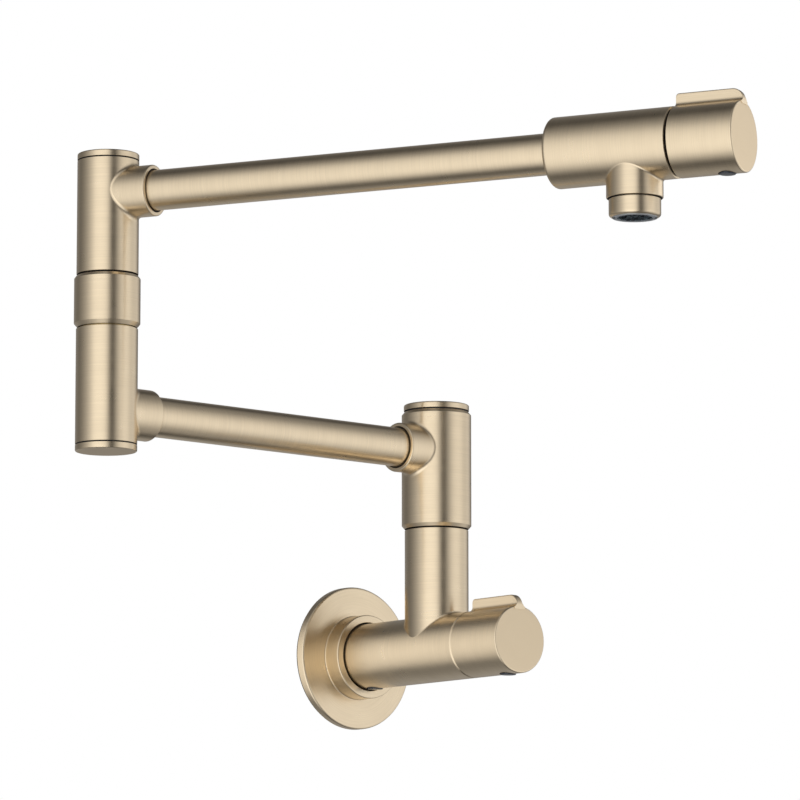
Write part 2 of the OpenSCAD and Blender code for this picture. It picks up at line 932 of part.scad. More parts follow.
module inlet_handle_plug() {
    color(plug_blue)
    at_inlet_valve()
    under_barrel(handle_screw_z)
    screw_plug();
}

module head_thrust_washer() {
    color(polymer)
    at_riser()
    pivot_thrust_washer(riser_top);
}

module swivel_head() {
    color(bronze)
    at_riser()
    difference() {
        union() {
            bar(head_d, head_base, head_top, head_chamfer, head_chamfer);
            toward(half_turn, lower_arm_z)
            bar(stub_d, 0, head_stub_len, edge_break, edge_chamfer);
        }
        pivot_cut(riser_top);
        rod(head_room_d, riser_top + sleeve_top, head_top + cut);
        toward(half_turn, lower_arm_z)
        socket_cut(head_socket_floor, head_stub_len);
    }
}

module head_bushing() {
    color(polymer)
    at_riser()
    pivot_bushing(riser_top);
}

module head_cap_seal() {
    color(rubber)
    at_riser()
    flat_seal(head_cap_d, head_room_d, head_top);
}

module head_cap() {
    color(bronze)
    at_riser()
    threaded_cap(head_cap_d, head_room_d, head_top);
}

module lower_arm_tube() {
    color(bronze)
    at_riser()
    toward(half_turn, lower_arm_z)
    band(tube_d, tube_d - tube_wall * 2, head_socket_floor, lower_arm_len - elbow_socket_floor);
}

module lower_elbow() {
    color(bronze)
    at_elbow()
    difference() {
        union() {
            bar(elbow_d, elbow_base, elbow_shoulder, edge_break, edge_break);
            toward(0, lower_arm_z)
            bar(stub_d, 0, elbow_stub_len, edge_break, edge_chamfer);
        }
        rod(elbow_room_d, elbow_base - cut, elbow_shoulder + cut);
        toward(0, lower_arm_z)
        socket_cut(elbow_socket_floor, elbow_stub_len);
    }
}

module bottom_cap_seal() {
    color(rubber)
    at_elbow()
    translate([0, 0, elbow_base])
    mirror([0, 0, 1])
    flat_seal(elbow_d, elbow_room_d, 0);
}

module bottom_cap() {
    color(bronze)
    at_elbow()
    translate([0, 0, elbow_base])
    mirror([0, 0, 1])
    threaded_cap(elbow_d, elbow_room_d, 0);
}

module elbow_spindle() {
    plug_base = elbow_shoulder - cap_plug_len;
    color(brass)
    at_elbow()
    difference() {
        union() {
            rod(elbow_room_d, plug_base, elbow_shoulder);
            rod(ring_seat_d, elbow_shoulder, spindle_shoulder);
            pivot(spindle_shoulder);
        }
        rod(pivot_bore_d, plug_base - cut, spindle_shoulder + pivot_top + cut);
    }
}

module elbow_ring() {
    color(bronze)
    at_elbow()
    difference() {
        bar(ring_d, ring_base, ring_top, ring_chamfer, ring_chamfer);
        rod(ring_seat_d, ring_base - cut, ring_top + cut);
    }
}

module elbow_orings() {
    color(rubber)
    at_elbow()
    pivot_seals(spindle_shoulder);
}

module elbow_lock_washer() {
    color(steel)
    at_elbow()
    pivot_washer(spindle_shoulder);
}

module elbow_lock_nut() {
    color(brass)
    at_elbow()
    pivot_nut(spindle_shoulder);
}

module elbow_thrust_washer() {
    color(polymer)
    at_elbow()
    pivot_thrust_washer(spindle_shoulder);
}

module upper_elbow() {
    color(bronze)
    at_elbow()
    difference() {
        union() {
            rod(neck_d, spindle_shoulder + thrust_t, upper_column_base + cut);
            bar(elbow_d, upper_column_base, elbow_top, edge_break, edge_break);
            toward(-arm_angle, upper_arm_z)
            bar(stub_d, 0, elbow_stub_len, edge_break, edge_chamfer);
        }
        pivot_cut(spindle_shoulder);
        rod(elbow_room_d, spindle_shoulder + sleeve_top, elbow_top + cut);
        toward(-arm_angle, upper_arm_z)
        socket_cut(elbow_socket_floor, elbow_stub_len);
    }
}

module elbow_bushing() {
    color(polymer)
    at_elbow()
    pivot_bushing(spindle_shoulder);
}

module top_cap_seal() {
    color(rubber)
    at_elbow()
    flat_seal(elbow_d, elbow_room_d, elbow_top);
}

module top_cap() {
    color(bronze)
    at_elbow()
    threaded_cap(elbow_d, elbow_room_d, elbow_top);
}

module upper_arm_tube() {
    color(bronze)
    along_upper_arm()
    band(tube_d, tube_d - tube_wall * 2, elbow_socket_floor, outlet_socket_floor);
}

module outlet_body() {
    color(bronze)
    difference() {
        union() {
            along_upper_arm()
            bar(barrel_d, outlet_start, outlet_end, inner_end_chamfer, edge_chamfer);
            at_spout()
            bar(spout_d, -spout_drop, 0, edge_chamfer, edge_break);
        }
        along_upper_arm() {
            rod(socket_bore_d, outlet_start - cut, outlet_socket_floor);
            rod(waterway_d, outlet_start, outlet_end);
        }
        at_outlet_valve()
        valve_cut();
        at_spout() {
            rod(spout_port_d, -spout_drop, 0);
            rod(aerator_thread_d, -spout_drop - cut, -aerator_seat);
        }
    }
}

module outlet_seat_seal() {
    color(rubber)
    at_outlet_valve()
    seat_seal();
}

module outlet_cartridge() {
    color(brass)
    at_outlet_valve()
    cartridge();
}

module outlet_fixed_disc() {
    color(ceramic)
    at_outlet_valve()
    fixed_disc();
}

module outlet_cartridge_oring() {
    color(rubber)
    at_outlet_valve()
    cartridge_seal();
}

module outlet_bonnet_nut() {
    color(brass)
    at_outlet_valve()
    bonnet_nut();
}

module aerator_washer() {
    color(rubber)
    at_spout()
    band(aerator_thread_d, insert_bore_d, -housing_top, -aerator_seat);
}

module aerator_housing() {
    color(bronze)
    at_spout()
    difference() {
        union() {
            bar(aerator_d, -housing_base, -housing_shelf, aerator_chamfer, edge_break);
            rod(aerator_thread_d, -housing_shelf - edge_break, -housing_top);
        }
        rod(mouth_d, -housing_base - cut, -mouth_top);
        rod(housing_bore_d, -housing_base, -housing_top + cut);
    }
}

module aerator_insert() {
    color(polymer)
    at_spout()
    difference() {
        union() {
            rod(mouth_d, -insert_base, -mouth_top);
            rod(housing_bore_d, -mouth_top - cut, -housing_top);
        }
        rod(screen_d, -insert_base - cut, -screen_top);
        rod(insert_bore_d, -screen_base, -housing_top + cut);
        difference() {
            rotate([0, 0, -notch_turn])
            translate([-mouth_d, -notch_w / 2, -insert_base - cut])
            cube([mouth_d * 2, notch_w, notch_depth + cut]);
            rod(notch_root_d, -insert_base - cut * 2, -insert_base + notch_depth + cut);
        }
    }
}

// A disc with a honeycomb of cells, those that would break its edge left out
module aerator_screen() {
    reach = screen_d / 2 - cell_corner_d / 2 - cell_wall / 2;
    color(steel)
    at_spout()
    difference() {
        rod(screen_d, -screen_base, -screen_top);
        for (row = [-cell_rings : cell_rings])
            for (col = [-cell_rings : cell_rings])
                let (x = (col + row / 2) * cell_pitch, y = row * cell_pitch * sin(half_turn / 3))
                if (norm([x, y]) <= reach)
                    translate([x, y, 0])
                    rotate([0, 0, right_angle / 3])
                    rod(cell_corner_d, -screen_base - cut, -screen_top + cut, hex_sides);
    }
}

module outlet_handle() {
    color(bronze)
    at_outlet_valve()
    handle();
}

module outlet_stem() {
    color(brass)
    at_outlet_valve()
    stem();
}

module outlet_turning_disc() {
    color(ceramic)
    at_outlet_valve()
    turning_disc();
}

module outlet_stem_oring() {
    color(rubber)
    at_outlet_valve()
    stem_seal();
}

module outlet_handle_screw() {
    color(steel)
    at_outlet_valve()
    under_barrel(handle_screw_z)
    set_screw(stem_flat, handle_screw_len);
}

module outlet_handle_plug() {
    color(plug_blue)
    at_outlet_valve()
    under_barrel(handle_screw_z)
    screw_plug();
}

wall_gasket();
wall_plate();
wall_plate_oring();
supply_adaptor();
adaptor_orings();
inlet_filter();
inlet_body();
body_set_screw();
body_screw_plug();
inlet_seat_seal();
inlet_cartridge();
inlet_fixed_disc();
inlet_cartridge_oring();
inlet_bonnet_nut();
riser_orings();
riser_lock_washer();
riser_lock_nut();
inlet_handle();
inlet_stem();
inlet_turning_disc();
inlet_stem_oring();
inlet_handle_screw();
inlet_handle_plug();
head_thrust_washer();
swivel_head();
head_bushing();
head_cap_seal();
head_cap();
lower_arm_tube();
lower_elbow();
bottom_cap_seal();
bottom_cap();
elbow_spindle();
elbow_ring();
elbow_orings();
elbow_lock_washer();
elbow_lock_nut();
elbow_thrust_washer();
upper_elbow();
elbow_bushing();
top_cap_seal();
top_cap();
upper_arm_tube();
outlet_body();
outlet_seat_seal();
outlet_cartridge();
outlet_fixed_disc();
outlet_cartridge_oring();
outlet_bonnet_nut();
aerator_washer();
aerator_housing();
aerator_insert();
aerator_screen();
outlet_handle();
outlet_stem();
outlet_turning_disc();
outlet_stem_oring();
outlet_handle_screw();
outlet_handle_plug();
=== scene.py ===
"""The wall-mounted pot filler in brushed champagne bronze, in the order in which it is put together."""
import math

import bpy
from mathutils import Matrix, Vector


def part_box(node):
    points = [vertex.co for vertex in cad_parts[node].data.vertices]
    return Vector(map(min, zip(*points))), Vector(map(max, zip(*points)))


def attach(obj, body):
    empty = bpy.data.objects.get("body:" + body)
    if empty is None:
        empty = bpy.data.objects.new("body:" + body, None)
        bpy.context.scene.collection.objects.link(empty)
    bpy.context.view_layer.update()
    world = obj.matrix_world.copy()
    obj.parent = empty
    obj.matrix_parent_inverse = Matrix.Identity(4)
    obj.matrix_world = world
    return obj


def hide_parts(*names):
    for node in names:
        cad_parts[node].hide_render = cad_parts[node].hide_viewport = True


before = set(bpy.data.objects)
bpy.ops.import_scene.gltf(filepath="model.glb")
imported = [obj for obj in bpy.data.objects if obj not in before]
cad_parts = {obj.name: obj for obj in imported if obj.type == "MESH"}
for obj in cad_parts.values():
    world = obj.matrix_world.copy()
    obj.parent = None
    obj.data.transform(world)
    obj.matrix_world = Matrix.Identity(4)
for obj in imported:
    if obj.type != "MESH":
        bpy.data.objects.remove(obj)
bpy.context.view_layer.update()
mm = 0.001

# Wall gasket and wall plate
# The gasket is a flat ring of black rubber. The plate is turned from brass with a raised collar,
# hollow behind, brushed on the lathe and coated champagne bronze.
plate_low, plate_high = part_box("wall_plate")
plate_r = plate_high.x
plate_back = -plate_high.y
collar_front = -plate_low.y
plate_front = 6.5 * mm
collar_r = 24 * mm
collar_bore_r = 19.2 * mm
collar_relief = 0.5 * mm
collar_relief_depth = 3 * mm
hollow_r = 34 * mm
hollow_depth = 2 * mm
hollow_round = 0.5 * mm
plate_round = 1.3 * mm
collar_root = 0.6 * mm
collar_round = 0.7 * mm
broken_edge = 0.3 * mm
turned_sides = 160
round_steps = 6
sharp_angle = math.radians(38)
camera_azimuth = math.radians(-41.31)
toward_camera = Vector((math.sin(camera_azimuth), -math.cos(camera_azimuth), 0))


def axes(origin, along, aside):
    """A frame whose Z runs along a turned part's axis and whose X points aside."""
    z = Vector(along).normalized()
    y = z.cross(Vector(aside)).normalized()
    place = Matrix((y.cross(z), y, z)).transposed().to_4x4()
    place.translation = Vector(origin)
    return place


def rounded(corners):
    """The points of a closed outline whose corners (across, along, radius) are drawn as arcs.

    A fourth entry gives the finish of the stretch after that corner: 1 painted near-black as shade in a gap,
    2 on a satin face.
    """
    points = []
    for i, (r, z, radius, *other) in enumerate(corners):
        here = Vector((r, z))
        finish = other[0] if other else 0
        if not radius:
            points.append((here, finish))
            continue
        before = (here - Vector(corners[i - 1][:2])).normalized()
        after = (Vector(corners[(i + 1) % len(corners)][:2]) - here).normalized()
        turn = math.atan2(before.cross(after), before.dot(after))
        reach = radius * math.tan(abs(turn) / 2)
        side = math.copysign(1, turn)
        centre = here - before * reach + Vector((-before.y, before.x)) * radius * side
        spoke = here - before * reach - centre
        for step in range(round_steps + 1):
            angle = turn * step / round_steps
            c, s = math.cos(angle), math.sin(angle)
            spot = centre + Vector((spoke.x * c - spoke.y * s, spoke.x * s + spoke.y * c))
            points.append((spot, finish if step == round_steps else 0))
    return points


def grid_shell(rows, closed_rows, finishes=None):
    """Faces and texture places of a shell whose rows are loops of points, each with (u, v) in metres."""
    shell = {"verts": [], "faces": [], "uvs": [], "finishes": []}
    index = []
    for row in rows:
        line = []
        pole = all((p - row[0][0]).length < 1e-9 for p, _ in row[:-1])
        for k, (p, _) in enumerate(row[:-1]):
            if k == 0 or not pole:
                shell["verts"].append(p)
            line.append(len(shell["verts"]) - 1)
        index.append(line + [line[0]])
    count = len(rows)
    for i in range(count if closed_rows else count - 1):
        for k in range(len(index[i]) - 1):
            j = (i + 1) % count
            corners = [(i, k), (i, k + 1), (j, k + 1), (j, k)]
            face, uv = [], []
            for a, b in corners:
                if index[a][b] not in face:
                    face.append(index[a][b])
                    uv.append(rows[a][b][1])
            if len(face) > 2:
                shell["faces"].append(face)
                shell["uvs"].append(uv)
                shell["finishes"].append(finishes[i] if finishes else 0)
    return shell


def turned(corners, place):
    """A part of revolution about the Z axis of its place, whose outline keeps the metal on its left."""
    outline = rounded(corners)
    widest = max(p.x for p, _ in outline)
    rows = []
    length = 0
    for i, (p, _) in enumerate(outline):
        if i:
            length += (p - outline[i - 1][0]).length
        row = []
        for k in range(turned_sides + 1):
            angle = 2 * math.pi * k / turned_sides
            spot = place @ Vector((p.x * math.cos(angle), p.x * math.sin(angle), p.y))
            row.append((spot, (angle * widest, length)))
        rows.append(row)
    return grid_shell(rows, closed_rows=True, finishes=[finish for _, finish in outline])


def scene_object(name, data):
    """A new object in the scene, at the origin."""
    made = bpy.data.objects.new(name, data)
    bpy.context.scene.collection.objects.link(made)
    return made


def piece(name, shells, material, nodes, body):
    """One object from several closed shells. It stands for its nodes and rides on their body."""
    verts, faces, uvs = [], [], []
    for shell in shells:
        start = len(verts)
        verts += shell["verts"]
        faces += [[start + v for v in face] for face in shell["faces"]]
        uvs += [uv for face in shell["uvs"] for uv in face]
    mesh = bpy.data.meshes.new(name)
    mesh.from_pydata(verts, [], faces)
    layer = mesh.uv_layers.new(name="grain")
    for place, uv in zip(layer.data, uvs):
        place.uv = uv
    mesh.polygons.foreach_set("use_smooth", [True] * len(faces))
    finishes = [finish for shell in shells for finish in shell["finishes"]]
    mesh.polygons.foreach_set("material_index", finishes)
    mesh.set_sharp_from_angle(angle=sharp_angle)
    mesh.materials.append(material)
    if any(finishes):
        # Faces of finish 1 take the painted shade for gaps.
        mesh.materials.append(painted_gap_shade)
        mesh.materials.append(satin_bronze)
    made = scene_object(name, mesh)
    weights = made.modifiers.new("even_shading", "WEIGHTED_NORMAL")
    weights.keep_sharp = True
    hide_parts(*nodes)
    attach(made, body)


def shader_material(name):
    """A new material with its nodes and their links."""
    material = bpy.data.materials.new(name)
    material.use_nodes = True
    return material, material.node_tree.nodes, material.node_tree.links


def shader_node(nodes, kind, **values):
    """A new shader node with some inputs set. An underscore in an input's name stands for its space."""
    node = nodes.new("ShaderNode" + kind)
    for label, value in values.items():
        node.inputs[label.replace("_", " ")].default_value = value
    return node


def colour_mix(nodes, low, high):
    """A mix of two colours by a factor."""
    node = nodes.new("ShaderNodeMix")
    node.data_type = "RGBA"
    node.inputs["A"].default_value = (*low, 1)
    node.inputs["B"].default_value = (*high, 1)
    return node


def brushed_metal(name, colour, roughness=0.3, anisotropic=0.55, groove=0.35, contrast=0.11, cloudy=1.0):
    """Coated metal, grooved along the grain map's first direction, its polish a little uneven."""
    material, nodes, links = shader_material(name)
    metal = nodes["Principled BSDF"]
    metal.inputs["Metallic"].default_value = 1
    metal.inputs["Anisotropic"].default_value = anisotropic
    metal.inputs["Anisotropic Rotation"].default_value = 0.25
    grain = nodes.new("ShaderNodeTangent")
    grain.direction_type = "UV_MAP"
    grain.uv_map = "grain"
    links.new(grain.outputs["Tangent"], metal.inputs["Tangent"])
    place = nodes.new("ShaderNodeUVMap")
    place.uv_map = "grain"

    def strokes(along, across, detail):
        """Noise of so many strokes a metre along the grain and across it."""
        stretch = shader_node(nodes, "Mapping", Scale=(along, across, 1))
        links.new(place.outputs["UV"], stretch.inputs["Vector"])
        noise = shader_node(nodes, "TexNoise", Scale=1, Detail=detail)
        links.new(stretch.outputs["Vector"], noise.inputs["Vector"])
        return noise.outputs["Fac"]

    fine = strokes(60, 5200, 3)
    broad = strokes(30, 1700, 3)
    cloud = strokes(45, 130, 2)
    dark = [c * (1 - contrast) for c in colour]
    light = [min(1, c * (1 + contrast)) for c in colour]
    tone = colour_mix(nodes, dark, light)
    links.new(broad, tone.inputs["Factor"])
    links.new(tone.outputs["Result"], metal.inputs["Base Color"])
    smooth = roughness * (1 - 0.1 * cloudy)
    rough = roughness * (1 + 0.12 * cloudy)
    polish = shader_node(nodes, "MapRange", From_Min=0.3, From_Max=0.7, To_Min=smooth, To_Max=rough)
    links.new(cloud, polish.inputs["Value"])
    links.new(polish.outputs["Result"], metal.inputs["Roughness"])
    both = nodes.new("ShaderNodeMath")
    both.operation = "ADD"
    links.new(fine, both.inputs[0])
    links.new(broad, both.inputs[1])
    bump = shader_node(nodes, "Bump", Strength=groove, Distance=0.00003)
    links.new(both.outputs[0], bump.inputs["Height"])
    links.new(bump.outputs["Normal"], metal.inputs["Normal"])
    return material


def plain_finish(name, colour, roughness, metallic=0.0, scale=900, relief=0.1):
    """Rubber, plastic, ceramic or machined metal with an even grain, placed by the object's axes."""
    material, nodes, links = shader_material(name)
    surface = nodes["Principled BSDF"]
    surface.inputs["Metallic"].default_value = metallic
    place = nodes.new("ShaderNodeTexCoord")
    grain = shader_node(nodes, "TexNoise", Scale=scale, Detail=3)
    links.new(place.outputs["Object"], grain.inputs["Vector"])
    tone = colour_mix(nodes, [c * 0.88 for c in colour], [min(1, c * 1.1) for c in colour])
    links.new(grain.outputs["Fac"], tone.inputs["Factor"])
    links.new(tone.outputs["Result"], surface.inputs["Base Color"])
    polish = shader_node(nodes, "MapRange", To_Min=roughness * 0.85, To_Max=min(1, roughness * 1.15))
    links.new(grain.outputs["Fac"], polish.inputs["Value"])
    links.new(polish.outputs["Result"], surface.inputs["Roughness"])
    bump = shader_node(nodes, "Bump", Strength=relief, Distance=0.00005)
    links.new(grain.outputs["Fac"], bump.inputs["Height"])
    links.new(bump.outputs["Normal"], surface.inputs["Normal"])
    return material


def finish_nodes(material, *names):
    """Gives carried-over nodes their finish."""
    for name in names:
        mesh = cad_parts[name].data
        mesh.materials.clear()
        mesh.materials.append(material)


bronze_colour = (0.83, 0.69, 0.49)
champagne = brushed_metal("champagne_bronze", bronze_colour)
satin_bronze = brushed_metal(
    "satin_bronze", bronze_colour, roughness=0.47, anisotropic=0.0, groove=0.1, contrast=0.02, cloudy=0.15
)
# Painted shade: a near-black finish for faces in seams, bores and recesses, where shade falls.
painted_gap_shade = plain_finish("painted_shade_in_gaps", (0.03, 0.022, 0.014), roughness=0.8, scale=1400)
black_rubber = plain_finish("black_rubber", (0.022, 0.022, 0.024), roughness=0.6)
finish_nodes(black_rubber, "wall_gasket", "wall_plate_oring")

out_of_wall = axes((0, 0, 0), (0, -1, 0), -toward_camera)
plate_outline = [
    (collar_bore_r, plate_back + hollow_depth, 0),
    (hollow_r, plate_back + hollow_depth, hollow_round),
    (hollow_r, plate_back, broken_edge),
    (plate_r, plate_back, broken_edge),
    (plate_r, plate_front, plate_round),
    (collar_r, plate_front, collar_root),
    (collar_r, collar_front, collar_round),
    (collar_bore_r + collar_relief, collar_front, broken_edge, 1),
    (collar_bore_r + collar_relief, collar_front - collar_relief_depth, 0, 1),
    (collar_bore_r, collar_front - collar_relief_depth, 0),
]
piece("wall_plate_turned", [turned(plate_outline, out_of_wall)], champagne, ["wall_plate"], "wall_group")

# Supply adaptor with its filter and seal rings
# A hexagon of plain machined brass with a half inch thread, behind the wall plate. Its spigot goes
# into the inlet body on two rubber rings, over a stamped steel filter.
machined_brass = plain_finish("machined_brass", (0.72, 0.52, 0.24), roughness=0.32, metallic=1.0, scale=1400)
satin_steel = plain_finish("satin_steel", (0.55, 0.55, 0.56), roughness=0.35, metallic=1.0, scale=1400)
finish_nodes(machined_brass, "supply_adaptor")
finish_nodes(satin_steel, "inlet_filter")
finish_nodes(black_rubber, "adaptor_orings")

# Inlet body
# A brass barrel with the riser fused onto it by a small fillet and, on top, the head's pivot. They
# are two meshes here, so that a panel can light the barrel and not the riser.
body_low, body_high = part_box("inlet_body")
barrel_r = body_high.x
barrel_inner = -body_high.y
barrel_outer = -body_low.y
riser_r = 18.1 * mm
riser_out = 75.5 * mm
riser_top = 67.3 * mm
riser_root = 3 * mm
riser_edge = 0.25 * mm
water_bore_r = 7 * mm
pivot_r = 10 * mm
pivot_thread_r = 8 * mm
pivot_bore_r = 5.8 * mm
pivot_len = 26.05 * mm
pivot_thread_len = 7 * mm
pivot_thread_edge = 0.4 * mm
spigot_r = 12.05 * mm
spigot_end = 47.9 * mm
valve_depths = [(14.5, 7), (13.2, 17), (12.2, 39), (10.5, 47)]
riser_fillet = 1.5 * mm
inlet_chamfer = (0.9 * mm, 0.54 * mm)
chamfer_edge = 0.1 * mm
sharp_edge = 0.15 * mm
seat_depth = 1 * mm


def saddle(place, main_r, branch_r, fillet):
    """The rolled fillet where a branch along Z leaves a barrel along X, as a closed ring."""
    arc_steps = 8
    rows = []
    for k in range(turned_sides + 1):
        angle = 2 * math.pi * k / turned_sides
        across, aside = math.cos(angle), math.sin(angle)
        reach = branch_r + fillet
        rise = math.sqrt((main_r + fillet) ** 2 - (reach * aside) ** 2)
        centre = Vector((reach * across, reach * aside, rise))
        to_branch = Vector((-across, -aside, 0)) * fillet
        to_main = Vector((0, -reach * aside, -rise)) * fillet / (main_r + fillet)
        spread = max(to_branch.angle(to_main), 1e-5)
        loop = []
        for step in range(arc_steps + 1):
            share = step / arc_steps
            toward = math.sin((1 - share) * spread) * to_branch + math.sin(share * spread) * to_main
            spot = centre + toward / math.sin(spread)
            loop.append((place @ spot, (angle * branch_r, share * spread * fillet)))
        buried = centre + (to_branch + to_main) * 1.5
        loop.append((place @ buried, (angle * branch_r, spread * fillet * 2)))
        loop.append(loop[0])
        rows.append(loop)
    return grid_shell(rows[:-1], closed_rows=True)


def seated(shell, place, main_r):
    """A branch's shell with its foot cut to the round of the barrel, a little under its skin."""
    back = place.inverted()
    foot = min((back @ v).z for v in shell["verts"])
    foot_height = 0.1 * mm
    rises = {}
    for k, v in enumerate(shell["verts"]):
        spot = back @ v
        if spot.z < foot + foot_height:
            rises[k] = math.sqrt(max((main_r - seat_depth) ** 2 - spot.y**2, foot**2)) - spot.z
            spot.z += rises[k]
            shell["verts"][k] = place @ spot
    for face, uv in zip(shell["faces"], shell["uvs"]):
        uv[:] = [(u, v + rises.get(k, 0)) for k, (u, v) in zip(face, uv)]
    return shell


def barrel_outline(inner, outer, inner_round, end_chamfer, bore_r, bore_end):
    """A valve barrel's outline, bored behind for its tube or spigot and in front for its cartridge."""
    bottom = outer - valve_depths[-1][1] * mm
    outline = [(water_bore_r, bottom, 0), (water_bore_r, bore_end, 0)]
    outline += [(bore_r, bore_end, 0), (bore_r, inner, broken_edge)]
    outline += [(barrel_r, inner, inner_round), (barrel_r, outer - end_chamfer[0], sharp_edge)]
    outline += [(barrel_r - end_chamfer[1], outer, chamfer_edge, 1)]
    reached = outer
    for radius, depth in valve_depths:
        outline += [(radius * mm, reached, 0, 1), (radius * mm, outer - depth * mm, 0, 1)]
        reached = outer - depth * mm
    return outline


def pivot_outline(shoulder, base, outer_r, edge):
    """The outline of a column that carries a swivel pivot above its shoulder."""
    top = shoulder + pivot_len + pivot_thread_len
    return [
        (pivot_bore_r, base, 0),
        (outer_r, base, 0),
        (outer_r, shoulder, edge, 1),
        (pivot_r, shoulder, 0),
        (pivot_r, shoulder + pivot_len, broken_edge),
        (pivot_thread_r, shoulder + pivot_len, 0),
        (pivot_thread_r, top, pivot_thread_edge),
        (pivot_bore_r, top, 0),
    ]


riser_foot = Vector((0, -riser_out, 0))
upright = axes(riser_foot, (0, 0, 1), -toward_camera)
tee = axes(riser_foot, (0, 0, 1), (0, -1, 0))
inlet_outline = barrel_outline(barrel_inner, barrel_outer, broken_edge, inlet_chamfer, spigot_r, spigot_end)
inlet_shells = [turned(inlet_outline, out_of_wall), saddle(tee, barrel_r, riser_r, riser_fillet)]
riser = turned(pivot_outline(riser_top, riser_root, riser_r, riser_edge), upright)
piece("inlet_barrel_fused", inlet_shells, champagne, ["inlet_body"], "wall_group")
piece("inlet_riser_fused", [seated(riser, tee, barrel_r)], champagne, ["inlet_body"], "wall_group")

# Valve cartridges, swivel washers and nuts
# Each valve's ceramic disc cartridge sits in its barrel under a brass bonnet nut. Acetal bearings,
# rubber rings, steel washers and brass nuts hold the swivels together, out of sight.
lapped_ceramic = plain_finish("lapped_ceramic", (0.82, 0.80, 0.74), roughness=0.22, scale=1600, relief=0.02)
white_acetal = plain_finish("white_acetal", (0.78, 0.76, 0.70), roughness=0.45)
finish_nodes(machined_brass, "inlet_cartridge", "inlet_bonnet_nut", "riser_lock_nut", "inlet_stem")
finish_nodes(machined_brass, "outlet_cartridge", "outlet_bonnet_nut", "elbow_lock_nut", "outlet_stem")
finish_nodes(lapped_ceramic, "inlet_fixed_disc", "inlet_turning_disc")
finish_nodes(lapped_ceramic, "outlet_fixed_disc", "outlet_turning_disc")
finish_nodes(satin_steel, "riser_lock_washer", "elbow_lock_washer", "body_set_screw")
finish_nodes(satin_steel, "inlet_handle_screw", "outlet_handle_screw")
finish_nodes(white_acetal, "head_thrust_washer", "head_bushing", "elbow_thrust_washer", "elbow_bushing")
finish_nodes(black_rubber, "inlet_seat_seal", "inlet_cartridge_oring", "inlet_stem_oring")
finish_nodes(black_rubber, "outlet_seat_seal", "outlet_cartridge_oring", "outlet_stem_oring")
finish_nodes(black_rubber, "riser_orings", "elbow_orings")

# Screw plugs
# Three small plugs of dark blue-grey plastic, pressed over the set screws under the barrel and
# under each handle. Each stands a little proud in a counterbore whose wall is painted near-black as shade, a
# dark ring.
plug_grey = plain_finish("plug_grey", (0.055, 0.065, 0.085), roughness=0.28, scale=1800, relief=0.05)
plug_r = 4.4 * mm
plug_edge = 0.4 * mm
plug_proud = 0.4 * mm
plug_seat_r = 4.85 * mm
plug_seat_sunk = 0.4 * mm
plug_seat_lift = 0.03 * mm
outlet_turn = math.radians(66.6)
outlet_direction = Vector((math.cos(outlet_turn), -math.sin(outlet_turn), 0))


def screw_plug(name, node, body, across):
    """A plug whose axis stands upright under its barrel, and the shadowed edge of its counterbore."""
    low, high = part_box(node)
    middle = (low + high) / 2
    outline = [(0, 0, 0), (0, low.z - high.z, 0), (plug_r, low.z - high.z, plug_edge), (plug_r, 0, 0)]
    plug = turned(outline, axes((middle.x, middle.y, high.z), (0, 0, 1), -toward_camera))
    axis_z = low.z + barrel_r + plug_proud
    section = [(plug_r, -plug_seat_lift), (plug_r, plug_seat_sunk)]
    section += [(plug_seat_r, plug_seat_sunk), (plug_seat_r, -plug_seat_lift)]
    rows = []
    for k in range(turned_sides):
        angle = 2 * math.pi * k / turned_sides
        loop = []
        for radius, sunk in section:
            spot = Vector((math.cos(angle), math.sin(angle), 0)) * radius
            aside = spot.dot(across)
            drop = math.sqrt((barrel_r - sunk) ** 2 - aside**2)
            loop.append((Vector((middle.x, middle.y, axis_z - drop)) + spot, (angle * radius, sunk)))
        rows.append(loop + loop[:1])
    # The counterbore's wall takes the painted gap shade.
    seat = grid_shell(rows, closed_rows=True, finishes=[1] * len(rows))
    piece(name, [plug, seat], plug_grey, [node], body)


outlet_across = Vector((0, 0, 1)).cross(outlet_direction)
screw_plug("body_plug_pressed", "body_screw_plug", "wall_group", Vector((1, 0, 0)))
screw_plug("inlet_plug_pressed", "inlet_handle_plug", "inlet_handle_group", Vector((1, 0, 0)))
screw_plug("outlet_plug_pressed", "outlet_handle_plug", "outlet_handle_group", outlet_across)

# Handles
# Each is a brass cup, turned and brushed, that covers its bonnet nut and grips the valve's stem.
# A thin blade stands on top over the handle's whole length, blended into it by two fillets.
handle_len = 37.2 * mm
handle_room_r = 15.5 * mm
handle_room_len = 20 * mm
handle_bore_r = 4.55 * mm
handle_bore_len = 33.1 * mm
blade_half = 2 * mm
blade_top = barrel_r + 6.6 * mm
blade_fillet = 2.4 * mm
blade_edge = 0.7 * mm
blade_outer_round = 6.3 * mm
blade_inner_round = 1.5 * mm
end_crown = 0.35 * mm
crown_steps = 8
end_round = 1.0 * mm
light_edge = 0.2 * mm
blade_root = 1.5 * mm
blade_tip = 0.02 * mm
inner_stations = 8
straight_stations = 12
outer_stations = 16
side_steps = 16
edge_steps = 5
outlet_rim_back = 0.75 * mm


def closing_row(row):
    """A row shrunk to the middle of a loop, which closes the shell there."""
    middle = sum((p for p, _ in row[:-1]), Vector()) / (len(row) - 1)
    return [(middle, uv) for _, uv in row]


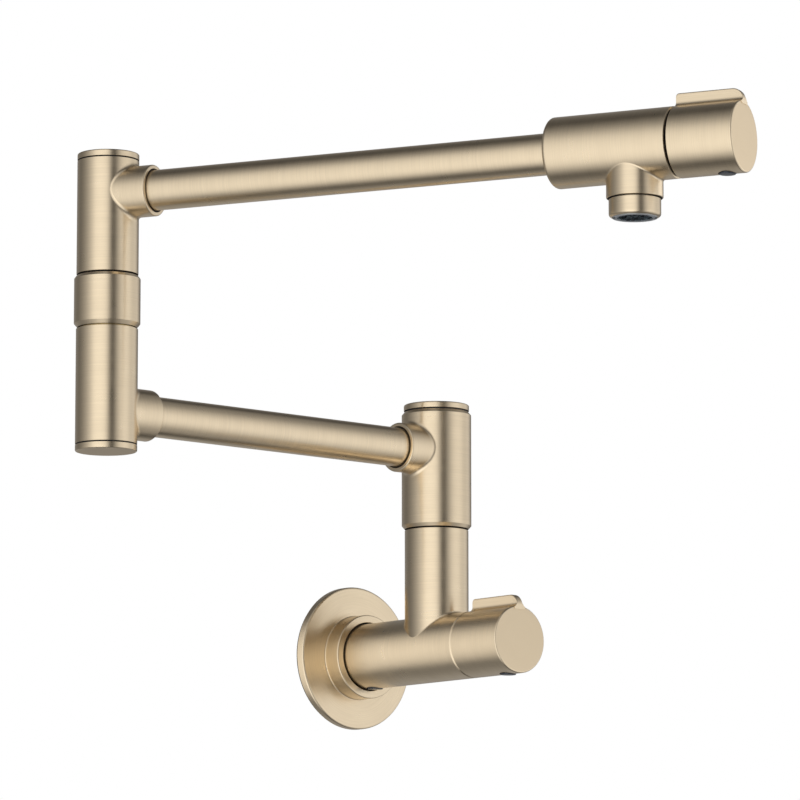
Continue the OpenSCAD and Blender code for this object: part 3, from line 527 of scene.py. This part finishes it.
def blade(place):
    """The blade as a stack of sections along the handle, each with its two root fillets."""
    centre_out = blade_half + blade_fillet
    centre_up = math.sqrt((barrel_r + blade_fillet) ** 2 - centre_out**2)
    root_up = centre_up * barrel_r / (barrel_r + blade_fillet)
    foot = root_up - blade_root
    start = handle_len - blade_outer_round
    quarter = math.pi / 2
    stations = []
    for k in range(inner_stations + 1):
        stations.append(blade_inner_round * (1 - math.cos(quarter * k / inner_stations)))
    for k in range(1, straight_stations + 1):
        stations.append(blade_inner_round + (start - blade_inner_round) * k / straight_stations)
    for k in range(1, outer_stations + 1):
        stations.append(start + (blade_outer_round - blade_tip) * math.sin(quarter * k / outer_stations))
    rows = []
    for along in stations:
        top = blade_top
        if along < blade_inner_round:
            top -= blade_inner_round - math.sqrt(blade_inner_round**2 - (blade_inner_round - along) ** 2)
        if along > start:
            top -= blade_outer_round - math.sqrt(max(0, blade_outer_round**2 - (along - start) ** 2))
        side = []
        for k in range(side_steps + 1):
            up = foot + (top - blade_edge - foot) * k / side_steps
            out = blade_half
            if up < centre_up:
                rise = max(up, root_up) - centre_up
                out = centre_out - math.sqrt(max(0, blade_fillet**2 - rise**2))
            side.append((out, up))
        half = side[-1][0]
        for k in range(1, edge_steps + 1):
            angle = quarter * k / edge_steps
            inward = blade_edge * (1 - math.cos(angle))
            side.append((half - inward, top - blade_edge * (1 - math.sin(angle))))
        loop = side + [(-out, up) for out, up in reversed(side)]
        row = []
        around = 0
        for k, (out, up) in enumerate(loop + loop[:1]):
            if k:
                around += math.dist(loop[k - 1], (out, up))
            row.append((place @ Vector((out, up, along)), (along, around)))
        rows.append(row)
    rows = [closing_row(rows[0])] + rows + [closing_row(rows[-1])]
    return grid_shell(rows, closed_rows=False)


def handle(name, node, body, root, direction, rim_back):
    """A handle whose inner end is at root and which points along direction, with its blade on top."""
    place = axes(root, direction, Vector((0, 0, 1)).cross(direction))
    shares = [k / crown_steps for k in range(crown_steps - 1, 0, -1)]
    crown = [(barrel_r * share, handle_len - end_crown * share**2, 0, 2) for share in shares]
    outline = [
        (0, handle_bore_len, 0),
        (handle_bore_r, handle_bore_len, 0),
        (handle_bore_r, handle_room_len, broken_edge),
        (handle_room_r, handle_room_len, 0),
        (handle_room_r, rim_back, 0, 1),
        (barrel_r, rim_back, light_edge),
        (barrel_r, handle_len - end_crown, end_round, 2),
        *crown,
        (0, handle_len, 0),
    ]
    shells = [turned(outline, place), blade(place)]
    piece(name, shells, champagne, [node], body)


seam = 0.4 * mm
lower_arm_len = 239 * mm
elbow_foot = Vector((-lower_arm_len, -riser_out, 0))
upper_tube_low, upper_tube_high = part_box("upper_arm_tube")
upper_arm_z = upper_tube_low.z / 2 + upper_tube_high.z / 2
outlet_end = 333 * mm
inlet_direction = Vector((0, -1, 0))
inlet_root = inlet_direction * (barrel_outer + seam)
handle("inlet_handle_bladed", "inlet_handle", "inlet_handle_group", inlet_root, inlet_direction, 0)
upper_start = elbow_foot + Vector((0, 0, upper_arm_z))
outlet_root = upper_start + outlet_direction * (outlet_end + seam)
handle(
    "outlet_handle_bladed", "outlet_handle", "outlet_handle_group",
    outlet_root, outlet_direction, outlet_rim_back,
)

# Swivel head and its cap
# A tall brass cup, turned with a chamfer at both ends, that turns on the riser's pivot. The arm's
# socket is fused to its side with a soft fillet, and a narrower threaded cap closes its top.
head_low, head_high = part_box("swivel_head")
head_r = head_high.x
head_room_r = 15 * mm
sleeve_r = 10.05 * mm
bearing_r = 12.5 * mm
bearing_len = 8.5 * mm
sleeve_len = 26 * mm
chamfer = 1.6 * mm
stub_r = 14 * mm
tube_r = 11 * mm
socket_depth = 13 * mm
mouth_gap = 0.9 * mm
mouth_depth = 0.7 * mm
head_stub = 30.1 * mm
stub_fillet = 2.5 * mm
socket_bore_r = 8.5 * mm
socket_foot = 6 * mm
mouth_round = 0.9 * mm
head_seam = 0.35 * mm
head_fall = 1.9 * mm
soft_edge = 0.5 * mm
cap_thread_len = 7 * mm
cap_seam = 0.7 * mm
head_cap_round = 0.9 * mm
lower_tube_low, lower_tube_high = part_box("lower_arm_tube")
lower_arm_z = (lower_tube_low.z + lower_tube_high.z) / 2


def sleeve_outline(base, top, room_r, shoulder, low_edges, high_edges):
    """The outline of a column that turns on a pivot whose shoulder is given, open at its top."""
    return [
        (room_r, shoulder + sleeve_len, 0),
        (sleeve_r, shoulder + sleeve_len, 0),
        (sleeve_r, shoulder + bearing_len, 0),
        (bearing_r, shoulder + bearing_len, 0),
        (bearing_r, base, 0, 1),
        *low_edges,
        *high_edges,
        (room_r, top, 0),
    ]


def arm_socket(place, mouth):
    """The fused socket of an arm tube, with the wider mouth whose faces are painted near-black as shade, a
    dark ring round the tube.
    """
    outline = [
        (socket_bore_r, socket_foot, 0),
        (stub_r, socket_foot, 0),
        (stub_r, mouth, mouth_round),
        (tube_r + mouth_gap, mouth, sharp_edge, 1),
        (tube_r + mouth_gap, mouth - mouth_depth, 0, 1),
        (tube_r, mouth - mouth_depth, 0),
        (tube_r, mouth - socket_depth, 0),
        (socket_bore_r, mouth - socket_depth, 0),
    ]
    return turned(outline, place)


head_base = head_low.z + head_seam
head_top = head_high.z
head_edges_low = [(head_r - chamfer, head_base, sharp_edge), (head_r, head_base + head_fall, broken_edge)]
head_edges_high = [(head_r, head_top - head_fall, soft_edge), (head_r - chamfer, head_top, sharp_edge, 1)]
head_outline = sleeve_outline(head_base, head_top, head_room_r, riser_top, head_edges_low, head_edges_high)
head_socket_place = axes(riser_foot + Vector((0, 0, lower_arm_z)), (-1, 0, 0), (0, 0, 1))
head_shells = [
    turned(head_outline, upright),
    arm_socket(head_socket_place, head_stub),
    saddle(head_socket_place, head_r, stub_r, stub_fillet),
]
piece("swivel_head_fused", head_shells, champagne, ["swivel_head"], "lower_arm")


def cap(name, node, foot, seat_up, thread_r, rounding, body):
    """A threaded cap. seat_up is 1 where it closes a column from above and -1 from below."""
    low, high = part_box(node)
    outer_r = (high.x - low.x) / 2
    seat = (low.z if seat_up > 0 else high.z) + seat_up * cap_thread_len
    face = high.z if seat_up > 0 else low.z
    length = abs(face - seat)
    place = axes(foot + Vector((0, 0, seat)), (0, 0, seat_up), -toward_camera)
    outline = [
        (0, -cap_thread_len, 0),
        (thread_r, -cap_thread_len, broken_edge),
        (thread_r, cap_seam, 0, 1),
        (outer_r, cap_seam, sharp_edge),
        (outer_r, length, rounding, 2),
        (0, length, 0),
    ]
    piece(name, [turned(outline, place)], champagne, [node], body)


cap("head_cap_turned", "head_cap", riser_foot, 1, head_room_r, head_cap_round, "lower_arm")
finish_nodes(black_rubber, "head_cap_seal", "bottom_cap_seal", "top_cap_seal")

# Arm tubes
# Two lengths of drawn brass tube of one width, brushed all round. Their ends are brazed into the
# sockets of the columns, and the upper tube's outer end into the outlet body.
tube_bore_r = 9.8 * mm


def arm_tube(name, node, start, direction, begin, end, body):
    """A plain tube along a direction, between two distances from its start."""
    outline = [
        (tube_bore_r, begin, 0),
        (tube_r, begin, light_edge),
        (tube_r, end, light_edge),
        (tube_bore_r, end, 0),
    ]
    piece(name, [turned(outline, axes(start, direction, (0, 0, 1)))], champagne, [node], body)


elbow_stub = 29 * mm
outlet_start = 264.2 * mm
lower_start = riser_foot + Vector((0, 0, lower_arm_z))
head_floor = head_stub - socket_depth
elbow_floor = elbow_stub - socket_depth
lower_end = lower_arm_len - elbow_floor
upper_end = outlet_start + socket_depth
to_elbow = Vector((-1, 0, 0))
arm_tube("lower_tube_drawn", "lower_arm_tube", lower_start, to_elbow, head_floor, lower_end, "lower_arm")
arm_tube(
    "upper_tube_drawn", "upper_arm_tube", upper_start, outlet_direction, elbow_floor, upper_end, "upper_arm"
)

# Elbow
# Two brass columns, each with an arm socket fused to its side. The upper one turns on a spindle
# screwed into the lower one, a chamfered ring hides the joint, and threaded caps close the ends.
low_elbow_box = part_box("lower_elbow")
high_elbow_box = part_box("upper_elbow")
ring_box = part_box("elbow_ring")
top_cap_low, top_cap_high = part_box("top_cap")
elbow_r = (top_cap_high.x - top_cap_low.x) / 2
elbow_room_r = 12.8 * mm
ring_r = (ring_box[1].x - ring_box[0].x) / 2
ring_bore_r = 15.25 * mm
neck_r = 14.95 * mm
spindle_rise = 14 * mm
lower_seam = 0.4 * mm
upper_seam = 0.95 * mm
elbow_cap_round = 0.8 * mm
spindle_shoulder = low_elbow_box[1].z + spindle_rise
elbow_upright = axes(elbow_foot, (0, 0, 1), -toward_camera)
lower_column = [
    (elbow_room_r, low_elbow_box[0].z, 0, 1),
    (elbow_r, low_elbow_box[0].z, sharp_edge),
    (elbow_r, low_elbow_box[1].z - lower_seam, sharp_edge, 1),
    (elbow_room_r, low_elbow_box[1].z, light_edge),
]
low_socket_place = axes(elbow_foot + Vector((0, 0, lower_arm_z)), (1, 0, 0), (0, 0, 1))
low_elbow_shells = [
    turned(lower_column, elbow_upright),
    arm_socket(low_socket_place, elbow_stub),
    saddle(low_socket_place, elbow_r, stub_r, stub_fillet),
]
piece("lower_elbow_fused", low_elbow_shells, champagne, ["lower_elbow"], "lower_arm")
cap("bottom_cap_turned", "bottom_cap", elbow_foot, -1, elbow_room_r, elbow_cap_round, "lower_arm")
finish_nodes(machined_brass, "elbow_spindle")

ring_edge = 0.25 * mm
ring_chamfer_high = 1.2 * mm
ring_chamfer_low = 1.8 * mm
ring_fall_low = 2.2 * mm
ring_fall_high = 1.6 * mm
ring_low, ring_high = ring_box[0].z, ring_box[1].z
ring_outline = [
    (ring_bore_r, ring_low, 0, 1),
    (ring_r - ring_chamfer_low, ring_low, sharp_edge),
    (ring_r, ring_low + ring_fall_low, ring_edge),
    (ring_r, ring_high - ring_fall_high, soft_edge),
    (ring_r - ring_chamfer_high, ring_high, sharp_edge, 1),
    (ring_bore_r, ring_high, 0, 1),
]
piece("elbow_ring_turned", [turned(ring_outline, elbow_upright)], champagne, ["elbow_ring"], "lower_arm")

neck_low = high_elbow_box[0].z
column_low = ring_high + upper_seam
column_top = high_elbow_box[1].z
neck_edges = [(neck_r, neck_low, 0, 1), (neck_r, column_low, 0, 1), (elbow_r, column_low, light_edge)]
top_edges = [(elbow_r, column_top, sharp_edge, 1)]
upper_column = sleeve_outline(neck_low, column_top, elbow_room_r, spindle_shoulder, neck_edges, top_edges)
high_socket_place = axes(upper_start, outlet_direction, (0, 0, 1))
high_elbow_shells = [
    turned(upper_column, elbow_upright),
    arm_socket(high_socket_place, elbow_stub),
    saddle(high_socket_place, elbow_r, stub_r, stub_fillet),
]
piece("upper_elbow_fused", high_elbow_shells, champagne, ["upper_elbow"], "upper_arm")
cap("top_cap_turned", "top_cap", elbow_foot, 1, elbow_room_r, elbow_cap_round, "upper_arm")

# Outlet body
# The second valve barrel, turned from brass with a rounded inner end, and the short spout fused
# under it. The tube is brazed into its inner end.
spout_reach = 309.2 * mm
spout_r = 14.85 * mm
spout_drop = 27.5 * mm
spout_fillet = 1.2 * mm
spout_thread_r = 12 * mm
spout_thread_len = 9 * mm
spout_bore_r = 6.5 * mm
spout_root = 8 * mm
outlet_chamfer = (0.45 * mm, 0.85 * mm)
outlet_round = 2.2 * mm
spout_foot = upper_start + outlet_direction * spout_reach
outlet_place = axes(upper_start, outlet_direction, (0, 0, 1))
outlet_outline = barrel_outline(outlet_start, outlet_end, outlet_round, outlet_chamfer, tube_r, upper_end)
spout_place = axes(spout_foot, (0, 0, -1), outlet_direction)
spout_outline = [
    (spout_thread_r, spout_drop - spout_thread_len, 0),
    (spout_bore_r, spout_drop - spout_thread_len, 0),
    (spout_bore_r, spout_root, 0),
    (spout_r, spout_root, 0),
    (spout_r, spout_drop, soft_edge, 1),
    (spout_thread_r, spout_drop, 0),
]
outlet_shells = [
    turned(outlet_outline, outlet_place),
    seated(turned(spout_outline, spout_place), spout_place, barrel_r),
    saddle(spout_place, barrel_r, spout_r, spout_fillet),
]
piece("outlet_body_fused", outlet_shells, champagne, ["outlet_body"], "upper_arm")

# Aerator
# A turned housing with a softly rounded edge screws up into the spout. A silver-grey insert with two
# key notches stands a little out of its mouth and holds a fine dark honeycomb.
housing_low, housing_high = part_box("aerator_housing")
aerator_r = (housing_high.x - housing_low.x) / 2
mouth_r = 11.75 * mm
mouth_len = 5 * mm
housing_bore_r = 9.6 * mm
housing_base = upper_arm_z - housing_low.z
housing_top = upper_arm_z - housing_high.z
aerator_round = 1.75 * mm
shelf_gap = 0.15 * mm
shelf = spout_drop + seam + shelf_gap
housing_outline = [
    (housing_bore_r, housing_top, 0),
    (spout_thread_r, housing_top, broken_edge),
    (spout_thread_r, shelf, 0, 1),
    (aerator_r, shelf, light_edge),
    (aerator_r, housing_base, aerator_round),
    (mouth_r, housing_base, 0),
    (mouth_r, housing_base - mouth_len, 0),
    (housing_bore_r, housing_base - mouth_len, 0),
]
housing = turned(housing_outline, spout_place)
piece("aerator_housing_turned", [housing], champagne, ["aerator_housing"], "upper_arm")

insert_colour = (0.50, 0.53, 0.55)
insert_shadow = (0.012, 0.013, 0.015)
insert_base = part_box("aerator_insert")[0].z
shadow_start = 0.3 * mm
shadow_full = 1.0 * mm
insert_grey = plain_finish("insert_grey", insert_colour, roughness=0.3, metallic=0.3, scale=1800, relief=0.03)
insert_nodes, insert_links = insert_grey.node_tree.nodes, insert_grey.node_tree.links
insert_spot = insert_nodes.new("ShaderNodeSeparateXYZ")
insert_links.new(insert_nodes["Texture Coordinate"].outputs["Object"], insert_spot.inputs[0])
insert_shade = shader_node(
    insert_nodes, "MapRange", From_Min=insert_base + shadow_start, From_Max=insert_base + shadow_full
)
insert_links.new(insert_spot.outputs["Z"], insert_shade.inputs["Value"])
insert_tone = colour_mix(insert_nodes, insert_colour, insert_shadow)
insert_links.new(insert_shade.outputs["Result"], insert_tone.inputs["Factor"])
insert_links.new(insert_nodes["Mix"].outputs["Result"], insert_tone.inputs["A"])
insert_links.new(insert_tone.outputs["Result"], insert_nodes["Principled BSDF"].inputs["Base Color"])
finish_nodes(insert_grey, "aerator_insert")
finish_nodes(black_rubber, "aerator_washer")


def honeycomb_tree(name, material):
    """Hexagonal cells laid over a round field, each a thin frame of its own."""
    cell_sides = 6
    trim_share = 0.4
    tree = bpy.data.node_groups.new(name, "GeometryNodeTree")
    tree.interface.new_socket("Geometry", in_out="OUTPUT", socket_type="NodeSocketGeometry")
    for label in ("Field radius", "Cell pitch", "Wall", "Depth"):
        socket = tree.interface.new_socket(label, in_out="INPUT", socket_type="NodeSocketFloat")
        socket.subtype = "DISTANCE"
    add, link = tree.nodes.new, tree.links.new
    given = add("NodeGroupInput")
    made = add("NodeGroupOutput")

    def value(operation, a, b):
        node = add("ShaderNodeMath")
        node.operation = operation
        for socket, source in zip(node.inputs, (a, b)):
            if isinstance(source, (int, float)):
                socket.default_value = source
            else:
                link(source, socket)
        return node.outputs[0]

    radius, pitch = given.outputs["Field radius"], given.outputs["Cell pitch"]
    count = value("ADD", value("ROUND", value("DIVIDE", radius, pitch), 0), 2)
    sides = value("ADD", value("MULTIPLY", count, 2), 1)
    span = value("MULTIPLY", value("MULTIPLY", count, 2), pitch)
    field = add("GeometryNodeMeshGrid")
    for label in ("Vertices X", "Vertices Y"):
        link(sides, field.inputs[label])
    for label in ("Size X", "Size Y"):
        link(span, field.inputs[label])
    spot = add("GeometryNodeInputPosition")
    split = add("ShaderNodeSeparateXYZ")
    link(spot.outputs[0], split.inputs[0])
    row = value("ROUND", value("DIVIDE", split.outputs["Y"], pitch), 0)
    odd = value("ABSOLUTE", value("MODULO", row, 2), 0)
    shifted = value("ADD", split.outputs["X"], value("MULTIPLY", value("MULTIPLY", odd, pitch), 0.5))
    packed = value("MULTIPLY", split.outputs["Y"], math.sin(math.pi / 3))
    joined = add("ShaderNodeCombineXYZ")
    link(shifted, joined.inputs["X"])
    link(packed, joined.inputs["Y"])
    move = add("GeometryNodeSetPosition")
    link(field.outputs["Mesh"], move.inputs["Geometry"])
    link(joined.outputs[0], move.inputs["Position"])
    distance = add("ShaderNodeVectorMath")
    distance.operation = "LENGTH"
    link(spot.outputs[0], distance.inputs[0])
    outside = add("FunctionNodeCompare")
    outside.operation = "GREATER_THAN"
    link(distance.outputs["Value"], outside.inputs[0])
    link(value("SUBTRACT", radius, value("MULTIPLY", pitch, trim_share)), outside.inputs[1])
    trim = add("GeometryNodeDeleteGeometry")
    link(move.outputs[0], trim.inputs["Geometry"])
    link(outside.outputs[0], trim.inputs["Selection"])
    ring = add("GeometryNodeCurvePrimitiveCircle")
    ring.inputs["Resolution"].default_value = cell_sides
    half_pitch = value("MULTIPLY", pitch, 0.5)
    link(value("DIVIDE", half_pitch, math.cos(math.pi / cell_sides)), ring.inputs["Radius"])
    turn = add("GeometryNodeTransform")
    link(ring.outputs[0], turn.inputs["Geometry"])
    turn.inputs["Rotation"].default_value = (0, 0, math.pi / cell_sides)
    section = add("GeometryNodeCurvePrimitiveQuadrilateral")
    link(given.outputs["Wall"], section.inputs["Width"])
    link(given.outputs["Depth"], section.inputs["Height"])
    frame_mesh = add("GeometryNodeCurveToMesh")
    link(turn.outputs[0], frame_mesh.inputs["Curve"])
    link(section.outputs[0], frame_mesh.inputs["Profile Curve"])
    lay = add("GeometryNodeInstanceOnPoints")
    link(trim.outputs[0], lay.inputs["Points"])
    link(frame_mesh.outputs[0], lay.inputs["Instance"])
    real = add("GeometryNodeRealizeInstances")
    link(lay.outputs[0], real.inputs[0])
    paint = add("GeometryNodeSetMaterial")
    paint.inputs["Material"].default_value = material
    link(real.outputs[0], paint.inputs[0])
    link(paint.outputs[0], made.inputs[0])
    return tree


screen_low, screen_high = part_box("aerator_screen")
screen_shadow = (0.09, 0.12, 0.16)
screen_glint = (0.80, 0.93, 1)
screen_lift = 0.6 * mm
screen_dark = plain_finish("screen_dark", screen_shadow, roughness=0.35, metallic=0.2, scale=700, relief=0.05)
screen_nodes, screen_links = screen_dark.node_tree.nodes, screen_dark.node_tree.links
screen_nodes["Mix"].inputs["A"].default_value = (*screen_shadow, 1)
screen_nodes["Mix"].inputs["B"].default_value = (*screen_glint, 1)
glint = shader_node(screen_nodes, "MapRange", From_Min=0.42, From_Max=0.6)
screen_links.new(screen_nodes["Noise Texture"].outputs["Fac"], glint.inputs["Value"])
screen_links.new(glint.outputs["Result"], screen_nodes["Mix"].inputs["Factor"])
comb_sizes = {"Field radius": 9.5 * mm, "Cell pitch": 1.2 * mm, "Wall": 0.26 * mm, "Depth": 1.2 * mm}
comb = scene_object("comb_maker", bpy.data.meshes.new("comb_maker"))
cells = comb.modifiers.new("cells", "NODES")
cells.node_group = honeycomb_tree("honeycomb", screen_dark)
for item in cells.node_group.interface.items_tree:
    if item.in_out == "INPUT":
        cells[item.identifier] = comb_sizes[item.name]
bpy.context.view_layer.update()
made_comb = comb.evaluated_get(bpy.context.evaluated_depsgraph_get())
screen_mesh = bpy.data.meshes.new_from_object(made_comb)
bpy.data.objects.remove(comb)
screen_middle = (screen_low + screen_high) / 2
screen_mesh.transform(Matrix.Translation((screen_middle.x, screen_middle.y, screen_low.z + screen_lift)))
screen_mesh.name = "aerator_screen_comb"
screen = scene_object("aerator_screen_comb", screen_mesh)
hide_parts("aerator_screen")
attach(screen, "upper_arm")

# Stage, light and camera
# A pale studio: a broad soft light in front and to the left, a weaker one on the right, and dark gaps
# between them and below. Two soft panels light some pieces only, and a pale sheet is the floor.
floor_z = -0.5
floor_half = 4
floor_clear = 0.7
floor_gone = 3.4
floor_white = 0.7
floor_mesh = bpy.data.meshes.new("floor")
floor_corners = [(floor_half * x, floor_half * y, floor_z) for x, y in ((-1, -1), (1, -1), (1, 1), (-1, 1))]
floor_mesh.from_pydata(floor_corners, [], [(0, 1, 2, 3)])
floor = scene_object("floor", floor_mesh)
floor_paint, floor_nodes, floor_links = shader_material("floor_pale")
sheet = floor_nodes["Principled BSDF"]
sheet.inputs["Base Color"].default_value = (0.8, 0.8, 0.8, 1)
sheet.inputs["Roughness"].default_value = 0.9
glow = shader_node(floor_nodes, "Emission", Strength=1.0)
seen = floor_nodes.new("ShaderNodeLightPath")
floor_spot = floor_nodes.new("ShaderNodeTexCoord")
floor_reach = floor_nodes.new("ShaderNodeVectorMath")
floor_reach.operation = "LENGTH"
floor_links.new(floor_spot.outputs["Object"], floor_reach.inputs[0])
floor_fade = shader_node(
    floor_nodes, "MapRange", From_Min=floor_clear, From_Max=floor_gone, To_Min=floor_white, To_Max=1.0
)
floor_fade.interpolation_type = "SMOOTHSTEP"
floor_links.new(floor_reach.outputs["Value"], floor_fade.inputs["Value"])
how_much = floor_nodes.new("ShaderNodeMath")
how_much.operation = "MULTIPLY"
floor_links.new(floor_fade.outputs["Result"], how_much.inputs[1])
blend = floor_nodes.new("ShaderNodeMixShader")
floor_links.new(seen.outputs["Is Camera Ray"], how_much.inputs[0])
floor_links.new(how_much.outputs[0], blend.inputs["Fac"])
floor_links.new(sheet.outputs[0], blend.inputs[1])
floor_links.new(glow.outputs[0], blend.inputs[2])
clear = floor_nodes.new("ShaderNodeBsdfTransparent")
studio_below = floor_nodes.new("ShaderNodeMixShader")
floor_links.new(seen.outputs["Is Glossy Ray"], studio_below.inputs["Fac"])
floor_links.new(blend.outputs[0], studio_below.inputs[1])
floor_links.new(clear.outputs[0], studio_below.inputs[2])
floor_links.new(studio_below.outputs[0], floor_nodes["Material Output"].inputs["Surface"])
floor_mesh.materials.append(floor_paint)

world = bpy.data.worlds.new("studio")
bpy.context.scene.world = world
world.use_nodes = True
sky, wires = world.node_tree.nodes, world.node_tree.links
look = sky.new("ShaderNodeTexCoord")
spread = shader_node(sky, "Mapping", Rotation=(0, 0, -camera_azimuth))
wires.new(look.outputs["Generated"], spread.inputs["Vector"])
parts = sky.new("ShaderNodeSeparateXYZ")
wires.new(spread.outputs["Vector"], parts.inputs[0])


def sum_of(operation, a, b=0.0):
    """One step of arithmetic in the studio's light pattern."""
    node = sky.new("ShaderNodeMath")
    node.operation = operation
    for socket, source in zip(node.inputs, (a, b)):
        if isinstance(source, (int, float)):
            socket.default_value = source
        else:
            wires.new(source, socket)
    return node.outputs[0]


def tones(angle, stops):
    """The brightness round one circle of directions, in straight slopes between (degrees, strength) stops."""
    dim_blue = 0.02
    node = sky.new("ShaderNodeValToRGB")
    node.color_ramp.interpolation = "LINEAR"
    share = sum_of("ADD", sum_of("DIVIDE", angle, 2 * math.pi), 0.5)
    wires.new(share, node.inputs["Fac"])
    marks = node.color_ramp.elements
    while len(marks) < len(stops):
        marks.new(0.5)
    for mark, (degrees, strength) in zip(marks, stops):
        mark.position = degrees / 360 + 0.5
        dim = 1 - min(1, strength)
        mark.color = (strength, strength, strength * (1 + dim_blue * dim), 1)
    return node.outputs["Color"]


# The directions are turned so that X points right and -Y points back to the camera
bearing = sum_of("ARCTAN2", parts.outputs["X"], sum_of("MULTIPLY", parts.outputs["Y"], -1.0))
squares = [sum_of("POWER", parts.outputs[axis], 2.0) for axis in "XY"]
level = sum_of("POWER", sum_of("ADD", *squares), 0.5)
height = sum_of("ARCTAN2", parts.outputs["Z"], level)
left_round = tones(bearing, [
    (-180, 0.30), (-144, 0.20), (-118, 0.14), (-96, 0.24), (-76, 0.42), (-58, 0.70), (-44, 1.04),
    (-24, 1.10), (-6, 1.03), (3, 0.86), (11, 0.44), (19, 0.06), (28, 0.0), (160, 0.0), (180, 0.30),
])
left_high = tones(height, [
    (-90, 0.14), (-75, 0.46), (-60, 0.88), (-44, 1.18), (-26, 1.17), (-9, 1.09), (9, 1.00), (26, 0.85),
    (43, 0.59), (58, 0.40), (70, 0.36), (90, 0.36),
])
right_round = tones(bearing, [
    (-180, 0.0), (18, 0.0), (29, 0.07), (43, 0.33), (58, 0.54), (74, 0.60), (88, 0.57), (101, 0.44),
    (113, 0.43), (125, 0.46), (136, 0.40), (147, 0.16), (160, 0.08), (180, 0.0),
])
right_high = tones(height, [
    (-90, 0.06), (-66, 0.31), (-50, 0.72), (-36, 1.22), (-20, 1.54), (-9, 1.61), (9, 1.50), (23, 1.22),
    (36, 0.90), (46, 0.62), (56, 0.38), (70, 0.20), (90, 0.12),
])


def mixed(blend, a, b):
    """Two colours of the studio's light pattern, multiplied or added."""
    node = sky.new("ShaderNodeMix")
    node.data_type = "RGBA"
    node.blend_type = blend
    node.inputs["Factor"].default_value = 1
    wires.new(a, node.inputs["A"])
    wires.new(b, node.inputs["B"])
    return node.outputs["Result"]


left_light = mixed("MULTIPLY", left_round, left_high)
right_light = mixed("MULTIPLY", right_round, right_high)
studio = sky["Background"]
wires.new(mixed("ADD", left_light, right_light), studio.inputs["Color"])
studio.inputs["Strength"].default_value = 1.08
backdrop = shader_node(sky, "Background", Color=(1, 1, 1, 1))
eye = sky.new("ShaderNodeLightPath")
pick = sky.new("ShaderNodeMixShader")
wires.new(eye.outputs["Is Camera Ray"], pick.inputs["Fac"])
wires.new(studio.outputs[0], pick.inputs[1])
wires.new(backdrop.outputs[0], pick.inputs[2])
wires.new(pick.outputs[0], sky["World Output"].inputs["Surface"])


def soft_panel(name, spot, aim, size, energy, lit):
    """A panel of lit cloth, dark towards its upper and lower ends, that lights only the pieces named."""
    light = bpy.data.lights.new(name, "AREA")
    light.shape = "RECTANGLE"
    light.size, light.size_y = size
    light.energy = energy
    light.color = (1.0, 0.97, 0.93)
    light.use_nodes = True
    cloth, threads = light.node_tree.nodes, light.node_tree.links
    place = cloth.new("ShaderNodeNewGeometry")
    split = cloth.new("ShaderNodeSeparateXYZ")
    threads.new(place.outputs["Parametric"], split.inputs[0])
    fade = cloth.new("ShaderNodeValToRGB")
    fade.color_ramp.interpolation = "EASE"
    fade.color_ramp.elements[0].color = (0, 0, 0, 1)
    fade.color_ramp.elements[1].color = (0, 0, 0, 1)
    fade.color_ramp.elements.new(0.5).color = (1, 1, 1, 1)
    threads.new(split.outputs["Y"], fade.inputs["Fac"])
    threads.new(fade.outputs["Color"], cloth["Emission"].inputs["Color"])
    panel = scene_object(name, light)
    panel.location = spot
    panel.rotation_euler = (Vector(aim) - panel.location).to_track_quat("-Z", "Y").to_euler()
    panel.visible_camera = False
    receivers = bpy.data.collections.new("lit_by_" + name)
    for lit_name in lit:
        receivers.objects.link(bpy.data.objects[lit_name])
    panel.light_linking.receiver_collection = receivers


# One panel lights the wall plate and the inlet valve, the other the outlet valve
inlet_lit = ["wall_plate_turned", "inlet_barrel_fused", "inlet_handle_bladed"]
outlet_lit = ["outlet_body_fused", "outlet_handle_bladed"]
inlet_aim = (-0.019, -0.08, 0)
outlet_aim = (-0.092, -0.416, 0.225)
soft_panel("inlet_panel", (-0.312, 0.254, -0.025), inlet_aim, size=(0.3, 1.25), energy=0.86, lit=inlet_lit)
soft_panel("outlet_panel", (0.40, -0.43, 0.30), outlet_aim, size=(0.35, 0.6), energy=0.3, lit=outlet_lit)

camera_tilt = math.radians(-8.66)
sensor_mm = 36
picture_px = 800
focal_px = 5166.0
camera_data = bpy.data.cameras.new("camera")
camera_data.sensor_width = sensor_mm
camera_data.lens = focal_px / picture_px * sensor_mm
camera_data.shift_x = 0.0135
camera_data.clip_start = 0.1
camera = scene_object("camera", camera_data)
camera.location = (-1.94381, -2.24653, -0.30121)
camera.rotation_euler = (math.pi / 2 - camera_tilt, 0, camera_azimuth)
bpy.context.scene.camera = camera
bpy.context.scene.view_settings.view_transform = "Standard"
